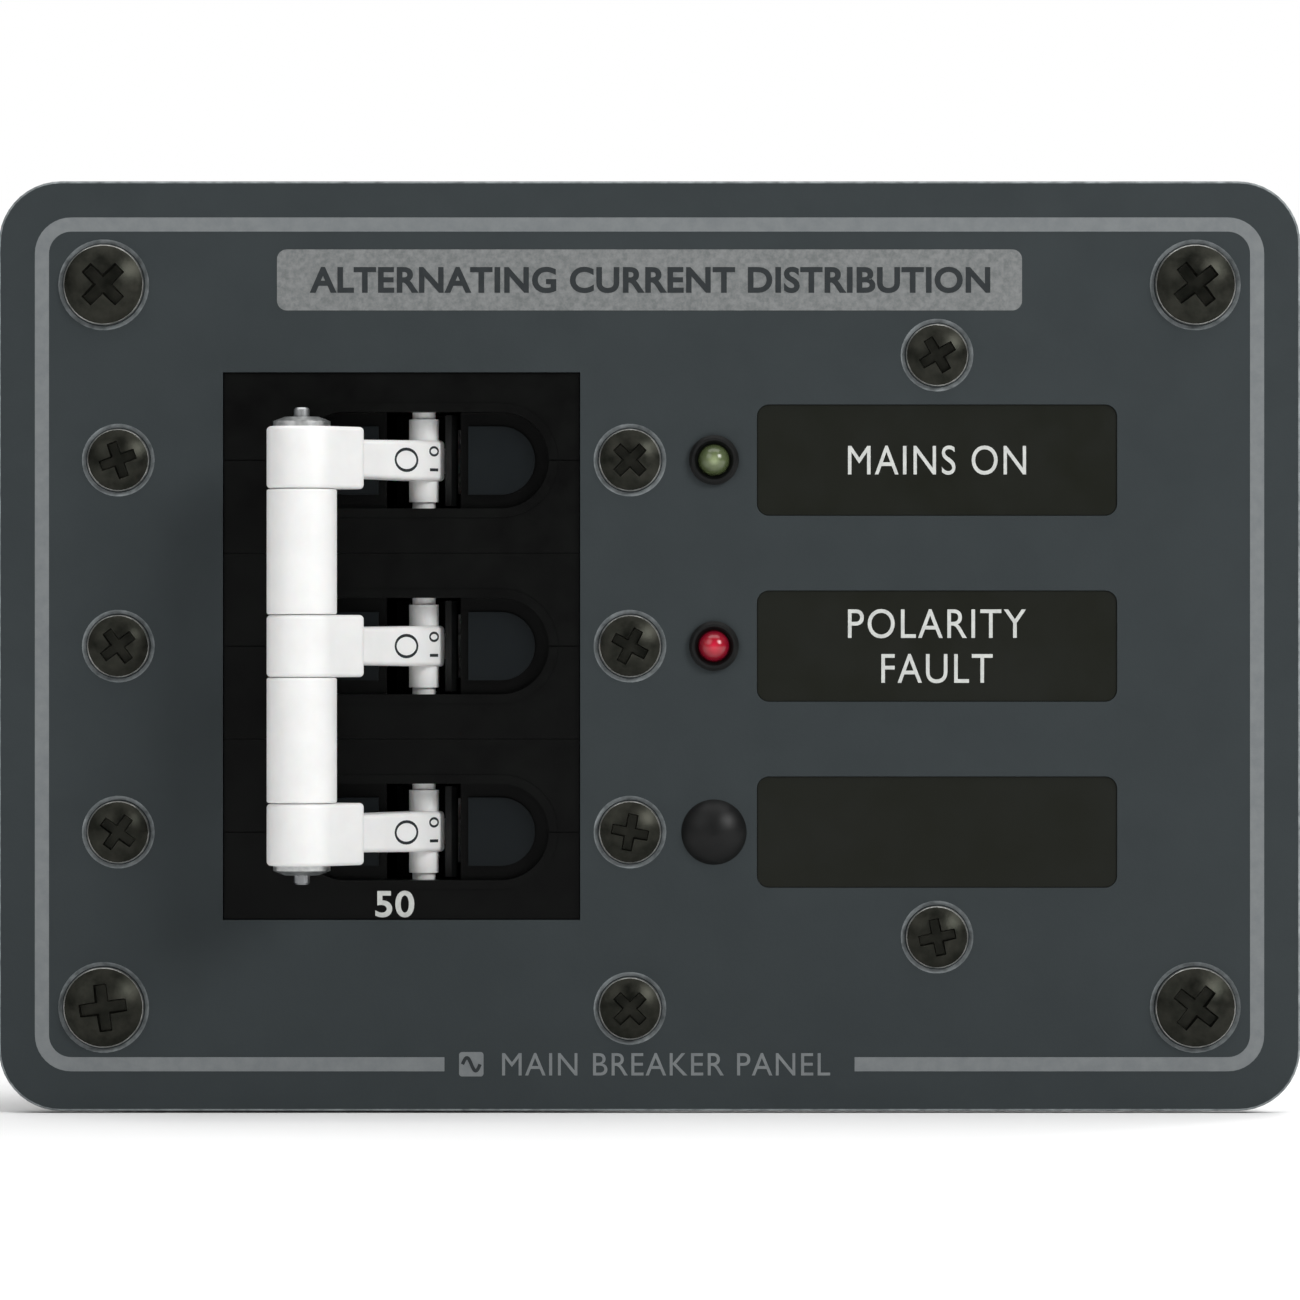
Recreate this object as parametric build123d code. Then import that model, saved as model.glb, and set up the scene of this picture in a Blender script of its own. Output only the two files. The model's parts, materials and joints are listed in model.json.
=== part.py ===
"""AC distribution panel with a three-pole toggle circuit breaker, for a vehicle or boat.

Frame: +X to the right of the front face, +Z up, and the front faces -Y.
The origin is the centre of the panel's rear face, which lies against the wall.
All lengths are in millimetres and all angles in degrees.
"""

from build123d import *
import math
import os

# ---- panel plate -------------------------------------------------------------
panel_width = 133.35
panel_height = 95.25
panel_thickness = 3.2
panel_corner_radius = 6.4
panel_edge_break = 0.35

# ---- screws that hold the panel to the wall ----------------------------------
wall_screw_inset_x = 10.775
wall_screw_inset_z = 10.625
wall_screw_radius = 2.1
wall_screw_neck_radius = 1.9
wall_screw_length = 19.0
wall_screw_point = 4.5
wall_screw_head_radius = 4.15
wall_screw_head_height = 2.3
wall_screw_cross_span = 4.6
wall_screw_cross_width = 1.05
wall_screw_turns = [45.0, 38.0, 8.0, 52.0]
breaker_screw_first_turn = 20.0
breaker_screw_turn_by_column = 25.0
breaker_screw_turn_by_row = 17.0
dish_floor_margin = 0.1
dish_slope_width = 0.4
dish_depth = 0.28

# ---- machine screws and their nuts -------------------------------------------
screw_radius = 1.75
screw_head_radius = 3.22
screw_head_height = 1.8
screw_cross_span = 3.6
screw_cross_width = 0.85
screw_hole_clearance = 0.15
thread_clearance = 0.05
head_edge_radius = 0.4
head_side_share = 0.38
cross_depth_share = 0.62
cross_taper = 8.0
breaker_screw_end_gap = 0.5
nut_across_flats = 8.0
nut_thickness = 2.8
nut_corner_break = 0.3
screw_end_beyond_nut = 1.0

# ---- three-pole breaker ------------------------------------------------------
pole_pitch = 19.05
pole_count = 3
pole_gap = 0.05
pivot_x = -23.2
case_reach_left = 35.7
case_reach_right = 25.5
case_depth = 50.0
case_wall = 1.6
case_front_wall = 3.0
case_back_wall = 2.0
case_edge_radius = 0.6
window_width = 36.6
window_centre_from_pivot = -2.2
window_side_overlap = 0.525
window_clearance = 0.1
nose_setback = 0.5
breaker_screw_reach_left = 31.2
breaker_screw_reach_right = 21.2
insert_radius = 2.8
insert_length = 6.5
insert_boss_side = 4.2
insert_boss_depth = 8.0
rivet_radius = 1.4
rivet_head_radius = 2.6
rivet_head_height = 0.9
rivet_boss_wall = 1.35
rivet_clearance = 0.05
rivets_from_pivot = [-30.5, 14.0, 20.5, -6.0]
rivets_from_front = [14.0, 8.0]
rivets_from_back = [14.0, 7.0]
pocket_beyond_wall = 2.0
cheek_depth = 1.5
carrier_boss_height = 0.6

# ---- toggle recess in the breaker's nose -------------------------------------
recess_length = 25.8
recess_height = 9.9
recess_depth = 2.5
pivot_below_recess_floor = 1.5
recess_rim_width = 0.9
recess_rim_height = 0.18
island_ring_width = 1.45
island_from_pivot = 4.6
island_height = 0.8
seam_width = 0.14
seam_depth = 0.25
pocket_half_width = 3.8

# ---- toggle handles and the bar that ties them -------------------------------
handle_tilt = 35.0
hub_radius = 1.55
hub_length = 8.5
trunnion_radius = 1.2
trunnion_end = 6.0
running_clearance = 0.06
trunnion_end_clearance = 0.15
lever_root_width = 4.2
lever_tip_width = 3.8
lever_thickness = 4.0
lever_root_overlap = 0.8
eye_distance = 20.8
eye_radius = 3.55
head_start = 14.3
head_length_on_bar = 6.3
head_rounding = 0.45
lever_rounding = 0.5
head_foot_rounding = 1.2
tie_rod_radius = 0.8
tie_rod_overhang = 1.9
tie_rod_clearance = 0.05
tie_rod_chamfer = 0.2
spacer_end_clearance = 0.05
spacer_edge_rounding = 0.225
retainer_radius = 2.9
retainer_thickness = 0.5
retainer_dish = 0.45
retainer_slots = 6
retainer_flat_radius = 1.6
retainer_shoulder_radius = 1.74
retainer_slot_width = 0.45

# ---- crank that the handle drives the contacts with --------------------------
crank_radius = 6.0
crank_arm_width = 3.0
crank_arm_thickness = 2.6
crank_pin_radius = 1.1
crank_pin_length = 6.6
crank_slot_clearance = 0.3

# ---- shield that turns with each handle and closes the pocket ----------------
shield_wall = 0.8
shield_clearance = 0.3
shield_end_clearance = 0.3

# ---- contact carrier, moving contact and fixed contact -----------------------
carrier_drop = 18.0
carrier_hub_radius = 3.2
carrier_width = 6.4
carrier_pin_radius = 1.2
carrier_pin_socket = 1.0
fork_gap = 3.2
fork_prong = 1.4
fork_reach_beyond_pin = 0.5
contact_leg_length = 10.0
contact_leg_above = 0.8
contact_leg_below = 2.2
contact_arm_start = 3.0
contact_arm_end = 15.5
contact_arm_thickness = 1.2
contact_arm_width = 5.2
contact_pad_length = 3.0
contact_pad_thickness = 1.4
contact_pad_width = 4.0
contact_gap = 0.2
carrier_spring_start = 4.2
carrier_spring_wire = 0.8
carrier_spring_turns = 3

# ---- terminals on the back of the breaker ------------------------------------
stud_radius = 2.4
stud_head_radius = 3.4
stud_head_thickness = 1.4
stud_free_length = 8.0
stud_end_chamfer = 0.4
stud_groove_depth = 0.45
stud_groove_width = 1.0
line_stud_from_pivot = 19.7
load_stud_from_pivot = -27.5
stud_nut_across_flats = 8.0
stud_nut_thickness = 4.0
stud_hole_clearance = 0.1
strap_thickness = 1.2
strap_width = 9.0
strap_beyond_stud = 4.0
strap_before_pad = 1.0
line_riser_from_pivot = 15.0
load_riser_top_from_back = 20.0
load_riser_from_wall = 1.1

# ---- magnetic trip unit ------------------------------------------------------
coil_from_pivot = -20.0
coil_wire = 1.8
coil_valley_share = 0.65
coil_turns = 14
coil_lead_width = 1.6
coil_lead_rise = 3.0
coil_lead_setback = 0.2
coil_lead_beyond_coil = 1.0
tube_radius = 2.6
tube_cap_radius = 3.6
tube_cap_thickness = 1.2
tube_cap_above_coil = 0.5
tube_fit = 0.05
magnet_sheet = 1.2
magnet_base_gap = 3.0
magnet_leg_from_coil = 6.3
magnet_base_reach_left = 7.0
armature_gap = 1.6
armature_width = 6.0
armature_reach_left = 11.0
armature_reach_right = 4.5
armature_pin_radius = 1.0
armature_barrel_radius = 1.7
armature_ear_gap = 0.3
armature_ear_thickness = 1.3
armature_ear_radius = 2.3

# ---- arc chutes --------------------------------------------------------------
chute_from_pivot = 17.0
chute_width = 6.0
chute_plate_thickness = 1.0
chute_plate_pitch = 3.0
chute_plate_count = 6
chute_board_thickness = 0.8
chute_board_margin = 0.8
chute_front = 12.0
chute_notch = 3.0

# ---- labels, lamps and the plug on the panel ---------------------------------
label_centre_x = 29.45
label_width = 36.9
label_height = 11.4
label_corner_radius = 1.25
label_clearance = 0.05
label_setback = 0.2
lamp_x = 6.6
lamp_radius = 1.6
lamp_flange_radius = 1.9
lamp_flange_thickness = 1.0
lamp_body_depth = 3.0
lamp_shoulder_rise = 0.2
bezel_flange_radius = 2.55
bezel_flange_height = 0.75
bezel_barrel_radius = 2.2
bezel_barrel_depth = 1.4
bezel_fit = 0.05
bezel_mouth_chamfer = 0.35
bezel_rim_chamfer = 0.3
lead_radius = 0.25
lead_pitch = 2.54
plug_head_radius = 3.35
plug_head_height = 1.7
plug_stem_radius = 2.45
plug_barb_radius = 2.9
plug_stem_depth = 3.0
plug_barb_gap = 0.1
plug_barb_rise = 0.3
plug_slit = 0.8
plug_slit_setback = 1.0

# ---- light guide and indicator board behind the labels -----------------------
guide_thickness = 3.0
guide_margin = 1.6
guide_ear_radius = 4.2
board_screw_from_label = 5.05
standoff_radius = 3.1
standoff_length = 6.5
board_thickness = 1.6
board_margin_left = 2.6
board_reach_right = 22.5
board_margin_end = 4.2
backlight_side = 2.6
backlight_height = 0.8
backlight_columns = 4
backlight_pitch = 8.0
resistor_radius = 1.5
resistor_length = 8.5
resistor_pitch = 5.5
resistor_lead_radius = 0.35
resistor_foot_radius = 0.3
resistor_lead_reach = 2.2
resistor_start_z = 6.0
components_from_board_edge = 13.0
lead_beyond_board = 1.2
capacitor_radius = 4.0
capacitor_height = 11.0
capacitor_z = -8.0
capacitor_rim_rounding = 0.6
capacitor_groove_start = 1.4
capacitor_groove_width = 0.8
capacitor_groove_depth = 0.35
block_pitch = 5.08
block_ways = 3
block_width = 8.2
block_height = 10.0
block_entry_radius = 1.5
block_screw_radius = 1.5
block_z = -18.0
block_from_board_edge = 3.0
block_entry_height = 3.2
block_entry_end_wall = 3.0
block_well_depth = 3.0
block_screw_below_top = 0.6
block_screw_slot_depth = 0.7
block_screw_slot_width = 0.6

# ---- earthing screw ----------------------------------------------------------
earth_screw_x = -2.0
earth_screw_below_breaker = 8.525
earth_stud_free_length = 9.0
washer_radius = 4.2
washer_thickness = 0.6
washer_teeth = 10
washer_notch_width = 0.8
washer_notch_depth = 0.7

# ---- places worked out from the sizes above ----------------------------------
panel_front = -panel_thickness
nose_front = panel_front + nose_setback
recess_floor = nose_front + recess_depth
pivot_y = recess_floor + pivot_below_recess_floor
pole_heights = [pole_pitch * (1 - i) for i in range(pole_count)]
pole_half = pole_pitch / 2 - pole_gap / 2
cavity_half = pole_half - case_wall
stack_half = pole_count * pole_pitch / 2
window_height = 2 * (stack_half - window_side_overlap)
window_x = pivot_x + window_centre_from_pivot
case_left = pivot_x - case_reach_left
case_right = pivot_x + case_reach_right
back_inside = case_depth - case_back_wall
breaker_screw_places = [pivot_x - breaker_screw_reach_left, pivot_x + breaker_screw_reach_right]
wall_screw_x = panel_width / 2 - wall_screw_inset_x
wall_screw_z = panel_height / 2 - wall_screw_inset_z
rivet_depths = rivets_from_front + [case_depth - depth for depth in rivets_from_back]
rivet_places = [(pivot_x + reach, depth) for reach, depth in zip(rivets_from_pivot, rivet_depths)]
earth_screw_z = -stack_half - earth_screw_below_breaker
board_screw_z = pole_pitch + label_height / 2 + board_screw_from_label
board_front = guide_thickness + standoff_length
board_back = board_front + board_thickness
board_left = lamp_x - board_margin_left
board_right = label_centre_x + board_reach_right
board_half_height = board_screw_z + board_margin_end
carrier_y = pivot_y + carrier_drop
carrier_half_swing = math.degrees(
    math.atan2(
        crank_radius * math.sin(math.radians(handle_tilt)),
        carrier_drop - crank_radius * math.cos(math.radians(handle_tilt)),
    )
)
magnet_base_front = back_inside - magnet_base_gap - magnet_sheet
coil_length = coil_wire * coil_turns
coil_front = magnet_base_front - coil_length
coil_x = pivot_x + coil_from_pivot
tube_front = coil_front - tube_cap_above_coil - tube_cap_thickness
armature_face = tube_front - armature_gap
hinge_x = coil_x + magnet_leg_from_coil + magnet_sheet / 2
hinge_y = armature_face - magnet_sheet / 2


# ---- shared shapes -----------------------------------------------------------
def block(x0, x1, y0, y1, z0, z1):
    """A box between two corners."""
    centre = Pos((x0 + x1) / 2, (y0 + y1) / 2, (z0 + z1) / 2)
    return centre * Box(x1 - x0, y1 - y0, z1 - z0)


def rod_x(y, z, radius, x0, x1):
    """A round bar along X."""
    return Pos((x0 + x1) / 2, y, z) * Rot(0, 90, 0) * Cylinder(radius, x1 - x0)


def rod_y(x, z, radius, y0, y1):
    """A round bar along Y."""
    return Pos(x, (y0 + y1) / 2, z) * Rot(90, 0, 0) * Cylinder(radius, y1 - y0)


def rod_z(x, y, radius, z0, z1):
    """A round bar along Z."""
    return Pos(x, y, (z0 + z1) / 2) * Cylinder(radius, z1 - z0)


def slab(sketch, y0, y1):
    """A sketch drawn in X and Z, as thick as y0 to y1."""
    return extrude(Plane.XZ.offset(-y0) * sketch, amount=y0 - y1)


def prism(sketch, z0, z1):
    """A sketch drawn in X and Y, as thick as z0 to z1."""
    return Pos(0, 0, z0) * extrude(sketch, amount=z1 - z0)


def turned(profile, x, z):
    """A face drawn in radius and depth, turned about the line along Y through x and z."""
    return Pos(x, 0, z) * revolve(profile, Axis.Y)


def group(shapes):
    """Separate pieces that share one node."""
    solids = []
    for shape in shapes:
        solids.extend(shape.solids())
    return Compound(solids)


def save(node, shape):
    """Write one node."""
    export_step(shape, f"parts/{node}.step")


def ridged_sleeve(inner, wire, turns, start):
    """A close-wound coil about the Y axis, drawn as one ridge for each turn."""
    crest = inner + wire
    valley = inner + coil_valley_share * wire
    edges = []
    for i in range(turns):
        y0 = start + i * wire
        edges.append(ThreePointArc((valley, y0), (crest, y0 + wire / 2), (valley, y0 + wire)))
    end = start + turns * wire
    edges.append(Polyline((valley, end), (inner, end), (inner, start), (valley, start)))
    return revolve(make_face(edges), Axis.Y)


# ---- fasteners ---------------------------------------------------------------
def pan_head(x, z, seat, radius, height, cross_span, cross_width, turn):
    """A domed head with a cross recess, standing on seat and facing the front."""
    shoulder = seat - head_side_share * height
    crown = seat - height
    rise = shoulder - crown
    dome = (radius**2 + rise**2) / (2 * rise)
    half_angle = math.asin(radius / dome) / 2
    mid = (dome * math.sin(half_angle), crown + dome * (1 - math.cos(half_angle)))
    outline = Polyline((0, crown), (0, seat), (radius, seat), (radius, shoulder))
    crown_arc = ThreePointArc((radius, shoulder), mid, (0, crown))
    face = make_face([outline, crown_arc])
    rim = face.vertices().group_by(Axis.X)[-1].sort_by(Axis.Y)[0]
    head = turned(fillet(rim, head_edge_radius), x, z)
    cross = Rectangle(cross_span, cross_width) + Rectangle(cross_width, cross_span)
    depth = cross_depth_share * height
    root = crown + depth
    tip = Pos(x, z) * Rot(0, 0, turn) * cross
    arms = extrude(Plane.XZ.offset(-root) * tip, amount=depth + rise, taper=-cross_taper)
    return head - arms


def wall_screw(x, z, turn):
    """A pan-head screw for a wall, with a pointed shank."""
    seat = panel_front + dish_depth
    end = seat + wall_screw_length
    head = pan_head(
        x,
        z,
        seat,
        wall_screw_head_radius,
        wall_screw_head_height,
        wall_screw_cross_span,
        wall_screw_cross_width,
        turn,
    )
    shank = Polyline(
        (0, seat),
        (wall_screw_neck_radius, seat),
        (wall_screw_neck_radius, 0),
        (wall_screw_radius, 0),
        (wall_screw_radius, end - wall_screw_point),
        (0, end),
        (0, seat),
    )
    return head + turned(make_face(shank), x, z)


def machine_screw(x, z, end, turn):
    """A small pan-head screw whose shank runs back to end."""
    seat = panel_front + dish_depth
    head = pan_head(
        x,
        z,
        seat,
        screw_head_radius,
        screw_head_height,
        screw_cross_span,
        screw_cross_width,
        turn,
    )
    return head + rod_y(x, z, screw_radius, seat, end)


def hex_nut(x, z, across_flats, bore, y0, y1):
    """A plain nut on a screw along Y, with its corners turned off at both ends."""
    flats = slab(Pos(x, z) * RegularPolygon(across_flats / 2, 6, major_radius=False), y0, y1)
    corner = across_flats / 2 / math.cos(math.radians(30))
    turned_blank = Polyline(
        (0, y0),
        (corner - 2 * nut_corner_break, y0),
        (corner, y0 + nut_corner_break),
        (corner, y1 - nut_corner_break),
        (corner - 2 * nut_corner_break, y1),
        (0, y1),
        (0, y0),
    )
    nut = flats & turned(make_face(turned_blank), x, z)
    return nut - rod_y(x, z, bore, y0 - 1, y1 + 1)


# ---- panel -------------------------------------------------------------------
def panel_plate():
    """The coated plate with all of its holes and windows."""
    plate = slab(RectangleRounded(panel_width, panel_height, panel_corner_radius), panel_front, 0)
    rim = plate.faces().sort_by(Axis.Y)[0].outer_wire().edges()
    plate = fillet(rim, panel_edge_break)
    cuts = []
    window = Pos(window_x, 0) * Rectangle(window_width, window_height)
    cuts.append(slab(window, panel_front - 1, 1))
    for z in pole_heights:
        opening = RectangleRounded(label_width, label_height, label_corner_radius)
        cuts.append(slab(Pos(label_centre_x, z) * opening, panel_front - 1, 1))
        for x in breaker_screw_places:
            cuts.append(screw_hole(x, z))
            cuts.append(dish(x, z, screw_head_radius))
    for x in (-wall_screw_x, wall_screw_x):
        for z in (-wall_screw_z, wall_screw_z):
            hole = wall_screw_radius + screw_hole_clearance
            cuts.append(rod_y(x, z, hole, panel_front - 1, 1))
            cuts.append(dish(x, z, wall_screw_head_radius))
    for z in (-board_screw_z, board_screw_z):
        cuts.append(screw_hole(label_centre_x, z))
        cuts.append(dish(label_centre_x, z, screw_head_radius))
    cuts.append(screw_hole(earth_screw_x, earth_screw_z))
    cuts.append(dish(earth_screw_x, earth_screw_z, screw_head_radius))
    for z in pole_heights[:2]:
        cuts.append(rod_y(lamp_x, z, bezel_barrel_radius + bezel_fit, panel_front - 1, 1))
    cuts.append(rod_y(lamp_x, pole_heights[2], plug_stem_radius + bezel_fit, panel_front - 1, 1))
    for cut in cuts:
        plate -= cut
    return plate


def dish(x, z, head_radius):
    """The shallow dish with a sloping side that a screw's head sits in."""
    floor = head_radius + dish_floor_margin
    rim = floor + dish_slope_width
    seat = panel_front + dish_depth
    above = panel_front - 1
    profile = Polyline((0, above), (rim, above), (rim, panel_front), (floor, seat), (0, seat), (0, above))
    return turned(make_face(profile), x, z)


def screw_hole(x, z):
    """A clearance hole for one small screw."""
    return rod_y(x, z, screw_radius + screw_hole_clearance, panel_front - 1, 1)


def panel_mounting_screws():
    """The four screws that hold the panel to the wall."""
    places = []
    for z in (wall_screw_z, -wall_screw_z):
        for x in (-wall_screw_x, wall_screw_x):
            places.append((x, z))
    return group(wall_screw(x, z, turn) for (x, z), turn in zip(places, wall_screw_turns))


def breaker_mounting_screws():
    """The six screws that hold the breaker's poles to the panel."""
    screws = []
    for i, x in enumerate(breaker_screw_places):
        for j, z in enumerate(pole_heights):
            turn = breaker_screw_first_turn
            turn += breaker_screw_turn_by_column * i + breaker_screw_turn_by_row * j
            screws.append(machine_screw(x, z, insert_length - breaker_screw_end_gap, turn))
    return group(screws)


def board_screws():
    """The two screws that hold the light guide and the board."""
    end = board_back + nut_thickness + screw_end_beyond_nut
    return group(
        machine_screw(label_centre_x, z, end, turn)
        for z, turn in ((board_screw_z, 30.0), (-board_screw_z, 12.0))
    )


def earth_screw():
    """The earthing screw, whose shank is the stud for an earth wire."""
    nut_face = washer_thickness + nut_thickness
    groove_end = nut_face + stud_groove_width
    x = earth_screw_x
    z = earth_screw_z
    groove = rod_y(x, z, screw_radius + 1, nut_face, groove_end)
    groove -= rod_y(x, z, screw_radius - stud_groove_depth, nut_face - 1, groove_end + 1)
    return machine_screw(x, z, nut_face + earth_stud_free_length, 45.0) - groove


def rear_hex_nuts():
    """The nuts of the board screws and of the earthing screw."""
    bore = screw_radius + thread_clearance
    nuts = []
    for z in (board_screw_z, -board_screw_z):
        y0 = board_back
        nuts.append(hex_nut(label_centre_x, z, nut_across_flats, bore, y0, y0 + nut_thickness))
    y0 = washer_thickness
    nuts.append(
        hex_nut(earth_screw_x, earth_screw_z, nut_across_flats, bore, y0, y0 + nut_thickness)
    )
    return group(nuts)


def earth_washer():
    """A toothed washer that bites through the coating under the earthing nut."""
    ring = Circle(washer_radius) - Circle(screw_radius + screw_hole_clearance)
    for i in range(washer_teeth):
        notch = Rectangle(washer_notch_width, 2 * washer_notch_depth)
        ring -= Rot(0, 0, i * 360 / washer_teeth) * Pos(0, washer_radius) * notch
    return slab(Pos(earth_screw_x, earth_screw_z) * ring, 0, washer_thickness)


def label_window(z):
    """One label insert, flush in its opening and seated on the light guide."""
    face = RectangleRounded(
        label_width - 2 * label_clearance,
        label_height - 2 * label_clearance,
        label_corner_radius - label_clearance,
    )
    return slab(Pos(label_centre_x, z) * face, panel_front + label_setback, 0)


def light_guide():
    """The clear plate behind the three labels, with an ear for each screw."""
    width = label_width + 2 * guide_margin
    height = 2 * pole_pitch + label_height + 2 * guide_margin
    outline = Pos(label_centre_x, 0) * RectangleRounded(width, height, label_corner_radius)
    for z in (board_screw_z, -board_screw_z):
        ear = Circle(guide_ear_radius)
        neck = Pos(0, -math.copysign(guide_ear_radius, z)) * Rectangle(
            2 * guide_ear_radius, 2 * guide_ear_radius
        )
        outline += Pos(label_centre_x, z) * (ear + neck)
    guide = slab(outline, 0, guide_thickness)
    for z in (board_screw_z, -board_screw_z):
        guide -= rod_y(
            label_centre_x, z, screw_radius + screw_hole_clearance, -1, guide_thickness + 1
        )
    return guide


def board_standoffs():
    """The two tubes that hold the board off the light guide."""
    tubes = []
    for z in (board_screw_z, -board_screw_z):
        tube = rod_y(label_centre_x, z, standoff_radius, guide_thickness, board_front)
        tube -= rod_y(
            label_centre_x, z, screw_radius + screw_hole_clearance, guide_thickness - 1, board_front + 1
        )
        tubes.append(tube)
    return group(tubes)


# ---- indicator board ---------------------------------------------------------
def lead_places():
    """The four places where lamp leads pass through the board."""
    places = []
    for z in pole_heights[:2]:
        for side in (-1, 1):
            places.append((lamp_x, z + side * lead_pitch / 2))
    return places


def indicator_board():
    """The circuit board, with holes for its screws and for the lamp leads."""
    board = block(
        board_left, board_right, board_front, board_back, -board_half_height, board_half_height
    )
    for z in (board_screw_z, -board_screw_z):
        board -= rod_y(
            label_centre_x, z, screw_radius + screw_hole_clearance, board_front - 1, board_back + 1
        )
    for x, z in lead_places():
        board -= rod_y(x, z, lead_radius + thread_clearance, board_front - 1, board_back + 1)
    return board


def lamp_leads():
    """The wire leads that join the two lamps to the board."""
    start = lamp_body_depth + lamp_flange_thickness
    end = board_back + lead_beyond_board
    return group(rod_y(x, z, lead_radius, start, end) for x, z in lead_places())


def backlight_leds():
    """The rows of small lamps on the board's front, one row for each label."""
    chips = []
    for z in pole_heights:
        for i in range(backlight_columns):
            x = label_centre_x + (i - (backlight_columns - 1) / 2) * backlight_pitch
            half = backlight_side / 2
            chips.append(
                block(x - half, x + half, board_front - backlight_height, board_front, z - half, z + half)
            )
    return group(chips)


def dropper_resistors():
    """The resistors that drop the mains voltage for the lamps."""
    resistors = []
    centre_x = board_left + components_from_board_edge
    y = board_back + resistor_radius
    for i in range(pole_count):
        z = resistor_start_z + i * resistor_pitch
        end = resistor_length / 2
        body = rod_x(y, z, resistor_radius, centre_x - end, centre_x + end)
        lead_end = end + resistor_lead_reach
        body += rod_x(y, z, resistor_lead_radius, centre_x - lead_end, centre_x + lead_end)
        for side in (-1, 1):
            x = centre_x + side * (lead_end - 2 * resistor_foot_radius)
            body += rod_y(x, z, resistor_foot_radius, board_back, y)
        resistors.append(body)
    return group(resistors)


def smoothing_capacitor():
    """The can that steadies the lamps' supply."""
    x = board_left + components_from_board_edge
    z = capacitor_z
    can = rod_y(x, z, capacitor_radius, board_back, board_back + capacitor_height)
    rim = can.edges().filter_by(GeomType.CIRCLE).sort_by(Axis.Y)[-1]
    can = fillet(rim, capacitor_rim_rounding)
    y0 = board_back + capacitor_groove_start
    y1 = y0 + capacitor_groove_width
    groove = rod_y(x, z, capacitor_radius + 1, y0, y1)
    groove -= rod_y(x, z, capacitor_radius - capacitor_groove_depth, y0 - 1, y1 + 1)
    return can - groove


def block_ways_z():
    """The height of each way of the board's terminal block."""
    return [block_z + (i - (block_ways - 1) / 2) * block_pitch for i in range(block_ways)]


def board_terminal_block():
    """The screw terminals where the supply joins the board."""
    x1 = board_right - block_from_board_edge
    x0 = x1 - block_width
    end = block_ways * block_pitch / 2
    top = board_back + block_height
    body = block(x0, x1, board_back, top, block_z - end, block_z + end)
    for z in block_ways_z():
        entry_y = board_back + block_entry_height
        body -= rod_x(entry_y, z, block_entry_radius, x0 + block_entry_end_wall, x1 + 1)
        well = block_screw_radius + thread_clearance
        body -= rod_y((x0 + x1) / 2, z, well, top - block_well_depth, top + 1)
    return body


def board_terminal_screws():
    """The slotted screws of the board's terminal block."""
    x = board_right - block_from_board_edge - block_width / 2
    top = board_back + block_height
    head_top = top - block_screw_below_top
    slot_floor = head_top - block_screw_slot_depth
    side = block_screw_radius + 1
    half = block_screw_slot_width / 2
    screws = []
    for z in block_ways_z():
        screw = rod_y(x, z, block_screw_radius, top - block_well_depth, head_top)
        screw -= block(x - side, x + side, slot_floor, head_top + 1, z - half, z + half)
        screws.append(screw)
    return group(screws)


# ---- lamps and plug ----------------------------------------------------------
def indicator_lamp(z):
    """A 3 mm lamp: a domed lens with a flange behind the bezel."""
    shoulder = panel_front - lamp_shoulder_rise
    lens = rod_y(lamp_x, z, lamp_radius, shoulder, lamp_body_depth)
    dome = Pos(lamp_x, shoulder, z) * Sphere(lamp_radius)
    flange = rod_y(
        lamp_x, z, lamp_flange_radius, lamp_body_depth, lamp_body_depth + lamp_flange_thickness
    )
    return lens + dome + flange


def indicator_bezels():
    """The two lamp holders, each a flanged sleeve through the panel."""
    bore = lamp_radius + bezel_fit
    rings = []
    for z in pole_heights[:2]:
        face = panel_front - bezel_flange_height
        profile = Polyline(
            (bore, bezel_barrel_depth),
            (bore, face + bezel_mouth_chamfer),
            (bore + bezel_mouth_chamfer, face),
            (bezel_flange_radius - bezel_rim_chamfer, face),
            (bezel_flange_radius, face + bezel_rim_chamfer),
            (bezel_flange_radius, panel_front),
            (bezel_barrel_radius, panel_front),
            (bezel_barrel_radius, bezel_barrel_depth),
            (bore, bezel_barrel_depth),
        )
        rings.append(turned(make_face(profile), lamp_x, z))
    return group(rings)


def blanking_plug():
    """The domed plug that closes the third lamp hole, with a split barbed stem."""
    z = pole_heights[2]
    crown = panel_front - plug_head_height
    dome = (plug_head_radius**2 + plug_head_height**2) / (2 * plug_head_height)
    half_angle = math.asin(plug_head_radius / dome) / 2
    mid = (dome * math.sin(half_angle), crown + dome * (1 - math.cos(half_angle)))
    outline = Polyline(
        (plug_head_radius, panel_front),
        (plug_stem_radius, panel_front),
        (plug_stem_radius, plug_barb_gap),
        (plug_barb_radius, plug_barb_gap + plug_barb_rise),
        (plug_stem_radius, plug_stem_depth),
        (0, plug_stem_depth),
        (0, crown),
    )
    arc = ThreePointArc((0, crown), mid, (plug_head_radius, panel_front))
    plug = turned(make_face([outline, arc]), lamp_x, z)
    side = plug_head_radius + 1
    half = plug_slit / 2
    slit_front = panel_front + plug_slit_setback
    slit = block(lamp_x - side, lamp_x + side, slit_front, plug_stem_depth + 1, z - half, z + half)
    return plug - slit


# ---- breaker case ------------------------------------------------------------
def nose_side(pole, side):
    """How far the nose of one pole reaches from its middle plane towards one side."""
    outermost = pole == 0 if side > 0 else pole == pole_count - 1
    if not outermost:
        return pole_half
    return window_height / 2 - window_clearance - (stack_half - pole_pitch / 2)


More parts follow.
